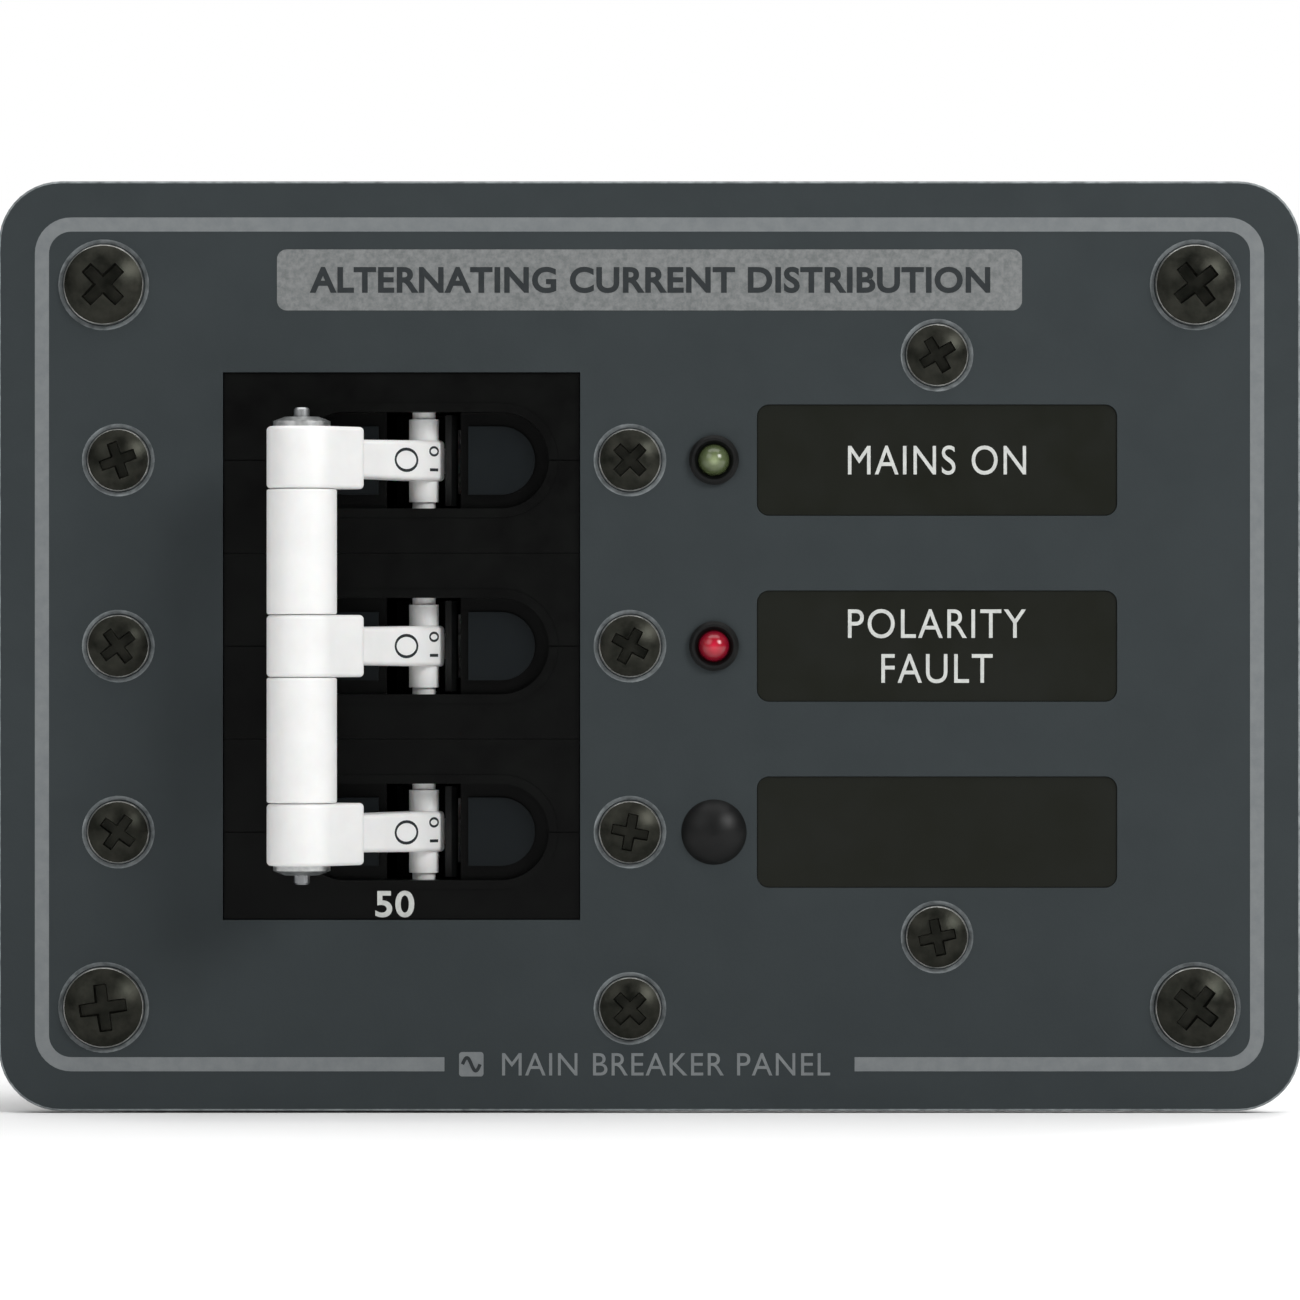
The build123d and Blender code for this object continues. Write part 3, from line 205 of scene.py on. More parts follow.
def lettering(name, text, place, size, surface, thickness, material, weight=0.0, spacing=1.0):
    """Printed capitals, centred on place and fitted to size, standing out of a surface."""
    curve = bpy.data.curves.new(name, "FONT")
    curve.body = text
    curve.align_x = "CENTER"
    curve.size = 1.0
    curve.extrude = 0.5
    curve.offset = weight
    curve.space_character = spacing
    curve.resolution_u = 6
    source = bpy.data.objects.new(name + "_source", curve)
    bpy.context.scene.collection.objects.link(source)
    bpy.context.view_layer.update()
    graph = bpy.context.evaluated_depsgraph_get()
    mesh = bpy.data.meshes.new_from_object(source.evaluated_get(graph))
    bpy.data.objects.remove(source)
    bpy.data.curves.remove(curve)
    xs = [v.co.x for v in mesh.vertices]
    ys = [v.co.y for v in mesh.vertices]
    wide = size[0] / (max(xs) - min(xs))
    tall = size[1] / (max(ys) - min(ys))
    middle = Vector(((max(xs) + min(xs)) / 2, (max(ys) + min(ys)) / 2))
    for vertex in mesh.vertices:
        x = place[0] + (vertex.co.x - middle.x) * wide
        z = place[1] + (vertex.co.y - middle.y) * tall
        y = surface - (vertex.co.z + 0.5) * thickness
        vertex.co = (x, y, z)
    shape = bmesh.new()
    shape.from_mesh(mesh)
    bpy.data.meshes.remove(mesh)
    bmesh.ops.remove_doubles(shape, verts=shape.verts, dist=0.0005 * MM)
    return finish_mesh(name, shape, material, "panel")


# ---- materials ---------------------------------------------------------------
def surface_material(name, tones, mottle, grain, relief, roughness, stretch=(1, 1, 1), **shader):
    """A principled material whose tone, gloss and grain vary over real sizes.

    mottle and grain are the sizes in millimetres of the tone's patches and of the surface's
    grain, relief is the grain's height in millimetres, and roughness is its lowest and highest.
    """
    material = bpy.data.materials.new(name)
    material.use_nodes = True
    tree = material.node_tree
    tree.nodes.clear()
    place = add_node(tree, "ShaderNodeTexCoord").outputs["Object"]
    along = add_node(tree, "ShaderNodeMapping", {"Scale": stretch}, {"Vector": place})
    patches = add_node(
        tree,
        "ShaderNodeTexNoise",
        {"Scale": per_mm(mottle), "Detail": 4.0, "Roughness": 0.6},
        {"Vector": along.outputs["Vector"]},
    )
    tone = add_node(tree, "ShaderNodeValToRGB", {}, {"Fac": patches.outputs["Fac"]})
    tone.color_ramp.elements[0].position = 0.34
    tone.color_ramp.elements[0].color = linear(tones[0])
    tone.color_ramp.elements[1].position = 0.66
    tone.color_ramp.elements[1].color = linear(tones[1])
    gloss = add_node(
        tree,
        "ShaderNodeMapRange",
        {"From Min": 0.3, "From Max": 0.7, "To Min": roughness[0], "To Max": roughness[1]},
        {"Value": patches.outputs["Fac"]},
    )
    texture = add_node(
        tree,
        "ShaderNodeTexNoise",
        {"Scale": per_mm(grain), "Detail": 2.0},
        {"Vector": along.outputs["Vector"]},
    )
    bump = add_node(
        tree,
        "ShaderNodeBump",
        {"Strength": 1.0, "Distance": relief * MM},
        {"Height": texture.outputs["Fac"]},
    )
    principled = add_node(
        tree,
        "ShaderNodeBsdfPrincipled",
        shader,
        {
            "Base Color": tone.outputs["Color"],
            "Roughness": gloss.outputs["Result"],
            "Normal": bump.outputs["Normal"],
        },
    )
    add_node(tree, "ShaderNodeOutputMaterial", {}, {"Surface": principled.outputs["BSDF"]})
    return material


def overpaint(material, share, tone):
    """Lay another tone over a material's own, by a share from 0 to 1."""
    tree = material.node_tree
    principled = next(node for node in tree.nodes if node.type == "BSDF_PRINCIPLED")
    under = principled.inputs["Base Color"].links[0].from_socket
    mix = add_node(
        tree,
        "ShaderNodeMix",
        {"data_type": "RGBA", MIX_OVER: linear(tone)},
        {"Factor": share, MIX_UNDER: under},
    )
    tree.links.new(mix.outputs[MIX_RESULT], principled.inputs["Base Color"])


def wear_and_highlight_slopes(material, bare_and_highlight_tone, steepest, flattest):
    """Lighten a material to a pale tone where its surface slopes away from the front: partly worn
    edges, partly a painted highlight.

    steepest and flattest are how much of the surface's direction points to the front there.
    """
    tree = material.node_tree
    scuff_size = 0.9
    facing = add_node(tree, "ShaderNodeNewGeometry").outputs["Normal"]
    front = add_node(tree, "ShaderNodeSeparateXYZ", {}, {"Vector": facing}).outputs["Y"]
    amount = add_node(tree, "ShaderNodeMath", {"operation": "ABSOLUTE"}, {0: front})
    sloping = add_node(
        tree,
        "ShaderNodeMath",
        {"operation": "COMPARE", 1: (steepest + flattest) / 2, 2: (flattest - steepest) / 2},
        {0: amount.outputs["Value"]},
    )
    place = add_node(tree, "ShaderNodeTexCoord").outputs["Object"]
    scuffs = add_node(tree, "ShaderNodeTexNoise", {"Scale": per_mm(scuff_size)}, {"Vector": place})
    share = add_node(
        tree,
        "ShaderNodeMath",
        {"operation": "MULTIPLY"},
        {0: sloping.outputs["Value"], 1: scuffs.outputs["Fac"]},
    )
    # pale tone on sloping faces: partly worn edges, partly painted highlight
    overpaint(material, share.outputs["Value"], bare_and_highlight_tone)
    return material


def textured_coat():
    """Aluminium sheet sprayed with textured polyurethane: matt slate with a fine orange peel.

    The coat is paler over its edges and round the dishes of its screws: partly a thinner coat,
    partly a painted highlight.
    """
    coat = surface_material(
        "textured_polyurethane_on_aluminium",
        ("#2C3234", "#2F3537"),
        mottle=7.0,
        grain=0.45,
        relief=0.012,
        roughness=(0.55, 0.65),
        **{"IOR": 1.5, "Specular IOR Level": 0.2},
    )
    # pale tone on the plate's edges and screw dishes: partly thin coat, partly painted highlight
    return wear_and_highlight_slopes(coat, "#A2A8AA", 0.3, 0.93)


def pale_ink():
    """Screen-printed epoxy ink: flat light grey that takes up the coat's texture."""
    return surface_material(
        "screen_printed_grey_ink",
        ("#6C7072", "#747879"),
        mottle=1.2,
        grain=0.4,
        relief=0.006,
        roughness=(0.55, 0.65),
        **{"Specular IOR Level": 0.2},
    )


def speckled_ink():
    """Screen-printed ink over a coarse mesh: mid grey with fine darker specks."""
    return surface_material(
        "screen_printed_speckled_ink",
        ("#666969", "#7C7E7E"),
        mottle=0.5,
        grain=0.4,
        relief=0.006,
        roughness=(0.55, 0.68),
        **{"Specular IOR Level": 0.2},
    )


def dark_ink():
    """Dark screen-printed ink: nearly the plate's own slate."""
    return surface_material(
        "screen_printed_dark_ink",
        ("#262A2C", "#2B2F31"),
        mottle=0.8,
        grain=0.4,
        relief=0.004,
        roughness=(0.5, 0.62),
        **{"Specular IOR Level": 0.2},
    )


def label_ink():
    """Pad-printed pale grey ink on the labels and on the breaker."""
    return surface_material(
        "pad_printed_pale_ink",
        ("#B9BBB8", "#C8CAC6"),
        mottle=0.7,
        grain=0.3,
        relief=0.003,
        roughness=(0.5, 0.6),
        **{"Specular IOR Level": 0.2},
    )


def label_acrylic():
    """Olive-black tinted acrylic, satin on its face: nearly black with a soft sheen."""
    return surface_material(
        "tinted_satin_acrylic",
        ("#101209", "#13150F"),
        mottle=6.0,
        grain=0.25,
        relief=0.002,
        roughness=(0.36, 0.44),
        **{"IOR": 1.49, "Specular IOR Level": 0.2},
    )


def black_thermoset():
    """Compression-moulded black polyester: deep black, with a slight flow mottle.

    The raised floors of the toggle recesses are painted a greyer black: a painted sheen.
    """
    material = surface_material(
        "moulded_black_polyester",
        ("#030303", "#060706"),
        mottle=4.0,
        grain=0.3,
        relief=0.004,
        roughness=(0.3, 0.42),
        **{"IOR": 1.54, "Specular IOR Level": 0.09},
    )
    tree = material.node_tree
    floor_tolerance = 0.1 * MM
    place = add_node(tree, "ShaderNodeTexCoord").outputs["Object"]
    depth = add_node(tree, "ShaderNodeSeparateXYZ", {}, {"Vector": place}).outputs["Y"]
    # painted sheen: the faces at the recess floors' depth get a greyer black
    painted_floor_sheen = add_node(
        tree,
        "ShaderNodeMath",
        {"operation": "COMPARE", 1: RECESS_FLOOR, 2: floor_tolerance},
        {0: depth},
    )
    overpaint(material, painted_floor_sheen.outputs["Value"], "#14181A")
    return material


def white_nylon():
    """Injection-moulded white nylon: soft white that lets a little light in."""
    return surface_material(
        "moulded_white_nylon",
        ("#E2E2E1", "#E8E8E7"),
        mottle=5.0,
        grain=0.35,
        relief=0.002,
        roughness=(0.36, 0.46),
        **{"IOR": 1.53, "Subsurface Weight": 0.08, "Subsurface Scale": 0.0008},
    )


def black_nylon():
    """Injection-moulded black nylon: satin black with a fine spark texture."""
    return surface_material(
        "moulded_black_nylon",
        ("#050606", "#090A0A"),
        mottle=2.5,
        grain=0.2,
        relief=0.004,
        roughness=(0.38, 0.5),
        **{"IOR": 1.53, "Specular IOR Level": 0.22},
    )


def black_oxide_steel():
    """Heat-treated steel, black oxide in oil: green-black, near white round the heads' rims: partly
    rubbed bare steel, partly a painted reflection.
    """
    black = surface_material(
        "black_oxide_steel",
        ("#22231F", "#33332E"),
        mottle=1.6,
        grain=0.25,
        relief=0.005,
        roughness=(0.34, 0.44),
        Metallic=1.0,
    )
    # near-white tone on the heads' sloping rims: partly bare steel, partly painted reflection
    return wear_and_highlight_slopes(black, "#F0F0EC", 0.22, 0.74)


def zinc_plated_steel():
    """Bright zinc plate over rolled thread and hexagon bar: pale, faintly cloudy metal."""
    return surface_material(
        "bright_zinc_plated_steel",
        ("#B4B8BA", "#C9CCCD"),
        mottle=2.0,
        grain=0.3,
        relief=0.003,
        roughness=(0.24, 0.38),
        Metallic=1.0,
    )


def drawn_steel():
    """Drawn or stamped steel, dull nickel plate: grey with lines along its length."""
    return surface_material(
        "dull_nickel_plated_steel",
        ("#8E9092", "#A4A6A7"),
        mottle=1.5,
        grain=0.2,
        relief=0.003,
        roughness=(0.3, 0.42),
        stretch=(1, 1, 0.15),
        Metallic=1.0,
    )


def spring_steel():
    """Tempered spring steel, bare: dark grey with an oily gloss."""
    return surface_material(
        "tempered_spring_steel",
        ("#5C5E60", "#77797B"),
        mottle=0.8,
        grain=0.2,
        relief=0.003,
        roughness=(0.25, 0.36),
        Metallic=1.0,
    )


def rolled_copper():
    """Rolled copper strip: warm metal with lines along the rolling direction."""
    return surface_material(
        "rolled_copper",
        ("#B5714E", "#CC8A64"),
        mottle=1.6,
        grain=0.2,
        relief=0.003,
        roughness=(0.26, 0.4),
        stretch=(1, 1, 0.2),
        Metallic=1.0,
    )


def enamelled_copper():
    """Copper winding wire under polyurethane enamel: red-brown and glossy."""
    return surface_material(
        "enamelled_copper_wire",
        ("#8A3D20", "#A3502C"),
        mottle=1.0,
        grain=0.3,
        relief=0.002,
        roughness=(0.18, 0.28),
        Metallic=1.0,
        **{"Coat Weight": 0.6, "Coat Roughness": 0.1},
    )


def drawn_brass():
    """Drawn brass tube and turned inserts: yellow metal with faint turning marks."""
    return surface_material(
        "drawn_brass",
        ("#B89A55", "#CDB06B"),
        mottle=1.2,
        grain=0.2,
        relief=0.003,
        roughness=(0.24, 0.36),
        stretch=(1, 0.2, 1),
        Metallic=1.0,
    )


def tinned_copper():
    """Hot-tinned copper wire: pale, soft-edged metal."""
    return surface_material(
        "tinned_copper_wire",
        ("#BDBFBF", "#D2D3D2"),
        mottle=0.6,
        grain=0.2,
        relief=0.003,
        roughness=(0.28, 0.4),
        Metallic=1.0,
    )


def brown_phenolic():
    """Moulded phenolic with wood flour: brown, with a fine fleck."""
    return surface_material(
        "moulded_brown_phenolic",
        ("#3C2418", "#553523"),
        mottle=0.8,
        grain=0.3,
        relief=0.004,
        roughness=(0.4, 0.52),
        IOR=1.55,
    )


def clear_acrylic():
    """Cast acrylic with polished faces: clear, seen through at its edges."""
    return surface_material(
        "polished_clear_acrylic",
        ("#DCE4E4", "#E8EEEE"),
        mottle=8.0,
        grain=1.0,
        relief=0.001,
        roughness=(0.04, 0.09),
        **{"IOR": 1.49, "Transmission Weight": 0.75},
    )


def solder_mask():
    """Glass-epoxy laminate under green solder mask: glossy, with the weave just showing."""
    return surface_material(
        "solder_masked_glass_epoxy",
        ("#14492B", "#1B5A36"),
        mottle=1.6,
        grain=0.5,
        relief=0.006,
        roughness=(0.22, 0.34),
        **{"IOR": 1.52, "Coat Weight": 0.4, "Coat Roughness": 0.15},
    )


def white_ceramic():
    """White ceramic-filled moulding of the small lamps: chalky white."""
    return surface_material(
        "moulded_white_lamp_package",
        ("#DEDDD4", "#ECEBE3"),
        mottle=0.7,
        grain=0.3,
        relief=0.004,
        roughness=(0.45, 0.6),
    )


def resistor_lacquer():
    """Pale blue dipped lacquer: slightly uneven and glossy."""
    return surface_material(
        "dipped_blue_lacquer",
        ("#7FA9B8", "#93BBC8"),
        mottle=1.6,
        grain=0.8,
        relief=0.02,
        roughness=(0.25, 0.36),
        **{"Coat Weight": 0.5, "Coat Roughness": 0.12},
    )


def shrink_sleeve():
    """Heat-shrunk sleeve of the capacitor: blue-black film pulled tight."""
    return surface_material(
        "heat_shrunk_blue_film",
        ("#131A2C", "#1B2338"),
        mottle=3.0,
        grain=1.2,
        relief=0.01,
        roughness=(0.2, 0.32),
        **{"Coat Weight": 0.3},
    )


def green_polyamide():
    """Moulded green polyamide of the terminal block: even green with a satin face."""
    return surface_material(
        "moulded_green_polyamide",
        ("#1D6A38", "#257A43"),
        mottle=2.4,
        grain=0.3,
        relief=0.004,
        roughness=(0.38, 0.5),
    )


def band_paint():
    """The resistors' painted colour bands: brown enamel."""
    return surface_material(
        "brown_band_enamel",
        ("#5A2A18", "#6C3620"),
        mottle=0.8,
        grain=0.3,
        relief=0.003,
        roughness=(0.25, 0.4),
    )


def tinted_epoxy(name, node, edge_hex, face_hex, core_hex):
    """Cast tinted epoxy: a glossy dome, deeper at its rim, with the chip's cup bright inside."""
    low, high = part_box(node)
    centre = (low + high) / 2
    cup_radius = 0.15 * MM
    dome_radius = 1.75 * MM
    swirl_size = 0.6
    swirl_reach = 0.3 * MM
    material = bpy.data.materials.new(name)
    material.use_nodes = True
    tree = material.node_tree
    tree.nodes.clear()
    place = add_node(tree, "ShaderNodeTexCoord").outputs["Object"]
    offset = add_node(
        tree,
        "ShaderNodeVectorMath",
        {"operation": "SUBTRACT", 1: (centre.x, 0.0, centre.z)},
        {0: place},
    )
    flat = add_node(
        tree,
        "ShaderNodeVectorMath",
        {"operation": "MULTIPLY", 1: (1.0, 0.0, 1.0)},
        {0: offset.outputs["Vector"]},
    )
    distance = add_node(
        tree, "ShaderNodeVectorMath", {"operation": "LENGTH"}, {0: flat.outputs["Vector"]}
    )
    swirl = add_node(
        tree, "ShaderNodeTexNoise", {"Scale": per_mm(swirl_size), "Detail": 2.0}, {"Vector": place}
    )
    wander = add_node(
        tree,
        "ShaderNodeMath",
        {"operation": "MULTIPLY_ADD", 1: swirl_reach},
        {0: swirl.outputs["Fac"], 2: distance.outputs["Value"]},
    )
    across = add_node(
        tree,
        "ShaderNodeMapRange",
        {"From Min": cup_radius, "From Max": dome_radius},
        {"Value": wander.outputs["Value"]},
    )
    tone = add_node(tree, "ShaderNodeValToRGB", {}, {"Fac": across.outputs["Result"]})
    ramp = tone.color_ramp
    ramp.elements[0].position = 0.12
    ramp.elements[0].color = linear(core_hex)
    ramp.elements[1].position = 0.95
    ramp.elements[1].color = linear(edge_hex)
    middle = ramp.elements.new(0.42)
    middle.color = linear(face_hex)
    principled = add_node(
        tree,
        "ShaderNodeBsdfPrincipled",
        {"Roughness": 0.2, "IOR": 1.55, "Emission Strength": 0.06},
        {"Base Color": tone.outputs["Color"], "Emission Color": tone.outputs["Color"]},
    )
    add_node(tree, "ShaderNodeOutputMaterial", {}, {"Surface": principled.outputs["BSDF"]})
    return material


def stage_paper():
    """Matt white background paper."""
    return surface_material(
        "matt_white_paper",
        ("#F6F6F6", "#F8F8F8"),
        mottle=60.0,
        grain=2.0,
        relief=0.01,
        roughness=(0.85, 0.95),
        **{"Specular IOR Level": 0.1},
    )


def dress(nodes, material):
    """Give the named CAD nodes one material."""
    for name in nodes:
        mesh = frame["nodes"][name].data
        mesh.materials.clear()
        mesh.materials.append(material)
        for polygon in mesh.polygons:
            polygon.material_index = 0


# ---- what a user may change --------------------------------------------------
class PrintSettings(bpy.types.PropertyGroup):
    """The printing on the plate."""

    line_width: FloatProperty(
        name="Line width",
        description="Width of the border line",
        default=1.45 * MM,
        unit="LENGTH",
    )
    line_inset: FloatProperty(
        name="Line inset",
        description="From the plate's edge to the middle of the border line",
        default=4.45 * MM,
        unit="LENGTH",
    )
    line_inset_below: FloatProperty(
        name="Line inset below",
        description="From the plate's lower edge to the middle of the border line",
        default=4.8 * MM,
        unit="LENGTH",
    )
    line_radius: FloatProperty(
        name="Line corner radius",
        description="Radius of the border line's middle at a corner",
        default=3.0 * MM,
        unit="LENGTH",
    )
    gap_half: FloatProperty(
        name="Gap half width",
        description="Half of the gap in the lower line",
        default=21.0 * MM,
        unit="LENGTH",
    )
    title_half: FloatProperty(
        name="Title half width",
        description="Half of the title plate's width",
        default=38.15 * MM,
        unit="LENGTH",
    )
    title_height: FloatProperty(
        name="Title height",
        description="Height of the title plate",
        default=6.25 * MM,
        unit="LENGTH",
    )
    title_z: FloatProperty(
        name="Title place",
        description="Height of the title plate's middle",
        default=37.5 * MM,
        unit="LENGTH",
    )
    ink_thickness: FloatProperty(
        name="Ink thickness",
        description="How far ink stands off the coat",
        default=0.03 * MM,
        unit="LENGTH",
    )
    title: StringProperty(
        name="Title",
        description="Words on the title plate",
        default="ALTERNATING CURRENT DISTRIBUTION",
    )
    footer: StringProperty(
        name="Footer", description="Words in the border's gap", default="MAIN BREAKER PANEL"
    )
    upper_label: StringProperty(
        name="Upper label", description="Words on the first label", default="MAINS ON"
    )
    middle_label: StringProperty(
        name="Middle label",
        description="Words on the second label, lines parted by |",
        default="POLARITY|FAULT",
    )
    rating: StringProperty(name="Rating", description="Number on the breaker", default="50")


class StageSettings(bpy.types.PropertyGroup):
    """The camera and the lights."""

    lens: FloatProperty(
        name="Lens", description="Focal length in millimetres", default=250.0, subtype="NONE"
    )
    view_width: FloatProperty(
        name="View width",
        description="Width seen at the plate's face",
        default=133.14 * MM,
        unit="LENGTH",
    )
    aim: FloatVectorProperty(
        name="Aim",
        description="Point in the middle of the view",
        default=(0.05 * MM, PLATE_FRONT, -0.4 * MM),
        subtype="TRANSLATION",
        unit="LENGTH",
    )
    world_strength: FloatProperty(
        name="Surroundings", description="Strength of the even light", default=0.12
    )
    key_power: FloatProperty(
        name="Key light", description="Power of the main light", default=6.6, unit="POWER"
    )
    fill_power: FloatProperty(
        name="Fill light", description="Power of the weaker light", default=2.6, unit="POWER"
    )
    top_power: FloatProperty(
        name="Top light", description="Power of the wide light overhead", default=13.0, unit="POWER"
    )


# ---- operators ---------------------------------------------------------------
class PANEL_OT_plate(bpy.types.Operator):
    """Coat the plate and print its border, title and footer"""

    bl_idname = "dist_panel.plate"
    bl_label = "Plate and printing"

    def execute(self, context):
        prints = context.scene.dist_panel_prints
        dress(["panel_plate"], textured_coat())
        self.print_border(prints)
        self.print_title(prints)
        return {"FINISHED"}

    def print_border(self, prints):
        """The border line, open below for the footer."""
        x1 = PLATE_HIGH.x - prints.line_inset
        z1 = PLATE_HIGH.z - prints.line_inset
        z0 = PLATE_LOW.z + prints.line_inset_below
        radius = prints.line_radius
        line = [(prints.gap_half, z0)]
        line += arc_points(x1 - radius, z0 + radius, radius, 270, 360)
        line += arc_points(x1 - radius, z1 - radius, radius, 0, 90)
        line += arc_points(-x1 + radius, z1 - radius, radius, 90, 180)
        line += arc_points(-x1 + radius, z0 + radius, radius, 180, 270)
        line.append((-prints.gap_half, z0))
        shape = bmesh.new()
        add_ribbon(shape, line, prints.line_width, PLATE_FRONT - prints.ink_thickness, PLATE_FRONT)
        finish_mesh("border_line", shape, pale_ink(), "panel")
        words_middle = 1.7 * MM
        words_length = 33.6 * MM
        capital_height = 2.3 * MM
        lettering(
            "footer_lettering",
            prints.footer,
            (words_middle, z0),
            (words_length, capital_height),
            PLATE_FRONT,
            prints.ink_thickness,
            pale_ink(),
            weight=0.0,
            spacing=1.08,
        )
        self.print_sine(prints, z0)

    def print_sine(self, prints, z0):
        """A small square with one wave in it, the usual sign for alternating current."""
        side = 2.5 * MM
        corner = 0.3 * MM
        left = -prints.gap_half + 1.5 * MM
        wave_margin = 0.14 * side
        wave_length = 0.72 * side
        wave_height = 0.27 * side
        stroke = 0.35 * MM
        steps = 24
        wave = []
        for i in range(steps + 1):
            along = i / steps
            x = left + wave_margin + wave_length * along
            wave.append((x, z0 + wave_height * math.sin(2 * math.pi * along)))
        shape = bmesh.new()
        add_plate(
            shape,
            rounded_outline(left, left + side, z0 - side / 2, z0 + side / 2, corner),
            PLATE_FRONT - prints.ink_thickness,
            PLATE_FRONT,
        )
        finish_mesh("sine_square", shape, pale_ink(), "panel")
        shape = bmesh.new()
        front = PLATE_FRONT - 2 * prints.ink_thickness
        add_ribbon(shape, wave, stroke, front, PLATE_FRONT - prints.ink_thickness)
        finish_mesh("sine_mark", shape, dark_ink(), "panel")

    def print_title(self, prints):
        """The title plate and its words."""
        z = prints.title_z
        half = prints.title_height / 2
        corner = 1.0 * MM
        words_middle = 0.05 * MM
        words_length = 69.7 * MM
        capital_height = 2.7 * MM
        shape = bmesh.new()
        add_plate(
            shape,
            rounded_outline(-prints.title_half, prints.title_half, z - half, z + half, corner),
            PLATE_FRONT - prints.ink_thickness,
            PLATE_FRONT,
        )
        finish_mesh("title_plate", shape, speckled_ink(), "panel")
        lettering(
            "title_lettering",
            prints.title,
            (words_middle, z),
            (words_length, capital_height),
            PLATE_FRONT - prints.ink_thickness,
            prints.ink_thickness,
            dark_ink(),
            weight=0.03,
            spacing=1.05,
        )


class PANEL_OT_labels(bpy.types.Operator):
    """Finish the three labels and print their words"""

    bl_idname = "dist_panel.labels"
    bl_label = "Labels"

    def execute(self, context):
        prints = context.scene.dist_panel_prints
        dress(LABEL_NODES, label_acrylic())
        ink = label_ink()
        for node, words in zip(LABEL_NODES, (prints.upper_label, prints.middle_label)):
            self.print_words(node, words.split("|"), ink)
        return {"FINISHED"}

    def print_words(self, node, lines, ink):
        """One or two lines of capitals, centred on a label."""
        low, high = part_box(node)
        middle = (low + high) / 2
        capital_height = 3.0 * MM
        letter_pitch = 2.28 * MM
        line_pitch = 4.6 * MM
        for i, line in enumerate(lines):
            z = middle.z + ((len(lines) - 1) / 2 - i) * line_pitch
            lettering(
                f"{node}_lettering_{i + 1}",
                line,
                (middle.x, z),
                (letter_pitch * len(line), capital_height),
                low.y,
                PRINT_THICKNESS,
                ink,
                weight=0.0,
                spacing=1.1,
            )


class PANEL_OT_fasteners(bpy.types.Operator):
    """Finish the screws and nuts, and wind their threads"""

    bl_idname = "dist_panel.fasteners"
    bl_label = "Screws and nuts"

    def execute(self, context):
        black = black_oxide_steel()
        zinc = zinc_plated_steel()
        screws = [
            "panel_mounting_screws",
            "breaker_mounting_screws",
            "board_screws",
            "earth_screw",
        ]
        dress(screws, black)
        dress(["rear_hex_nuts", "earth_washer", "case_rivets"], zinc)
        self.wind_wall_screws(black)
        self.wind_small_screws(black)
        return {"FINISHED"}

    def wind_wall_screws(self, black):
        """The coarse threads of the four wall screws."""
        low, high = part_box("panel_mounting_screws")
        head = 4.15 * MM
        radius = 2.1 * MM
        start = 1.0 * MM
        end = high.y - 4.4 * MM
        shape = bmesh.new()
        for x in (low.x + head, high.x - head):
            for z in (low.z + head, high.z - head):
                add_thread(shape, x, z, radius, start, end, pitch=1.6 * MM, height=0.32 * MM)
        finish_mesh("wall_screw_threads", shape, black, "panel")

    def wind_small_screws(self, black):
        """The threads that show behind the board's nuts and the earthing nut."""
        shape = bmesh.new()
        head = 3.22 * MM
        radius = 1.75 * MM
        pitch = 0.6 * MM
        height = 0.12 * MM
        low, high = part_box("board_screws")
        start = high.y - 2.2 * MM
        x = (low.x + high.x) / 2
        for z in (low.z + head, high.z - head):
            add_thread(shape, x, z, radius, start, high.y, pitch, height)
        low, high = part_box("earth_screw")
        start = high.y - 7.9 * MM
        x = (low.x + high.x) / 2
        z = (low.z + high.z) / 2
        add_thread(shape, x, z, radius, start, high.y, pitch, height)
        finish_mesh("small_screw_threads", shape, black, "panel")


class PANEL_OT_breaker(bpy.types.Operator):
    """Finish the breaker's case and print its rating"""

    bl_idname = "dist_panel.breaker"
    bl_label = "Breaker case"

    def execute(self, context):
        prints = context.scene.dist_panel_prints
        halves = [f"pole_{i}_case_{half}" for i in (1, 2, 3) for half in ("upper", "lower")]
        dress(halves, black_thermoset())
        dress(["mounting_inserts"], drawn_brass())
        rim_height = 0.18 * MM
        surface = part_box("pole_3_case_lower")[0].y + rim_height
        numeral_place = (PIVOT.x - 2.9 * MM, -26.43 * MM)
        numeral_size = (4.0 * MM, 2.75 * MM)
        lettering(
            "rating_numeral",
            prints.rating,
            numeral_place,
            numeral_size,
            surface,
            PRINT_THICKNESS,
            label_ink(),
            weight=0.02,
            spacing=1.05,
        )
        return {"FINISHED"}


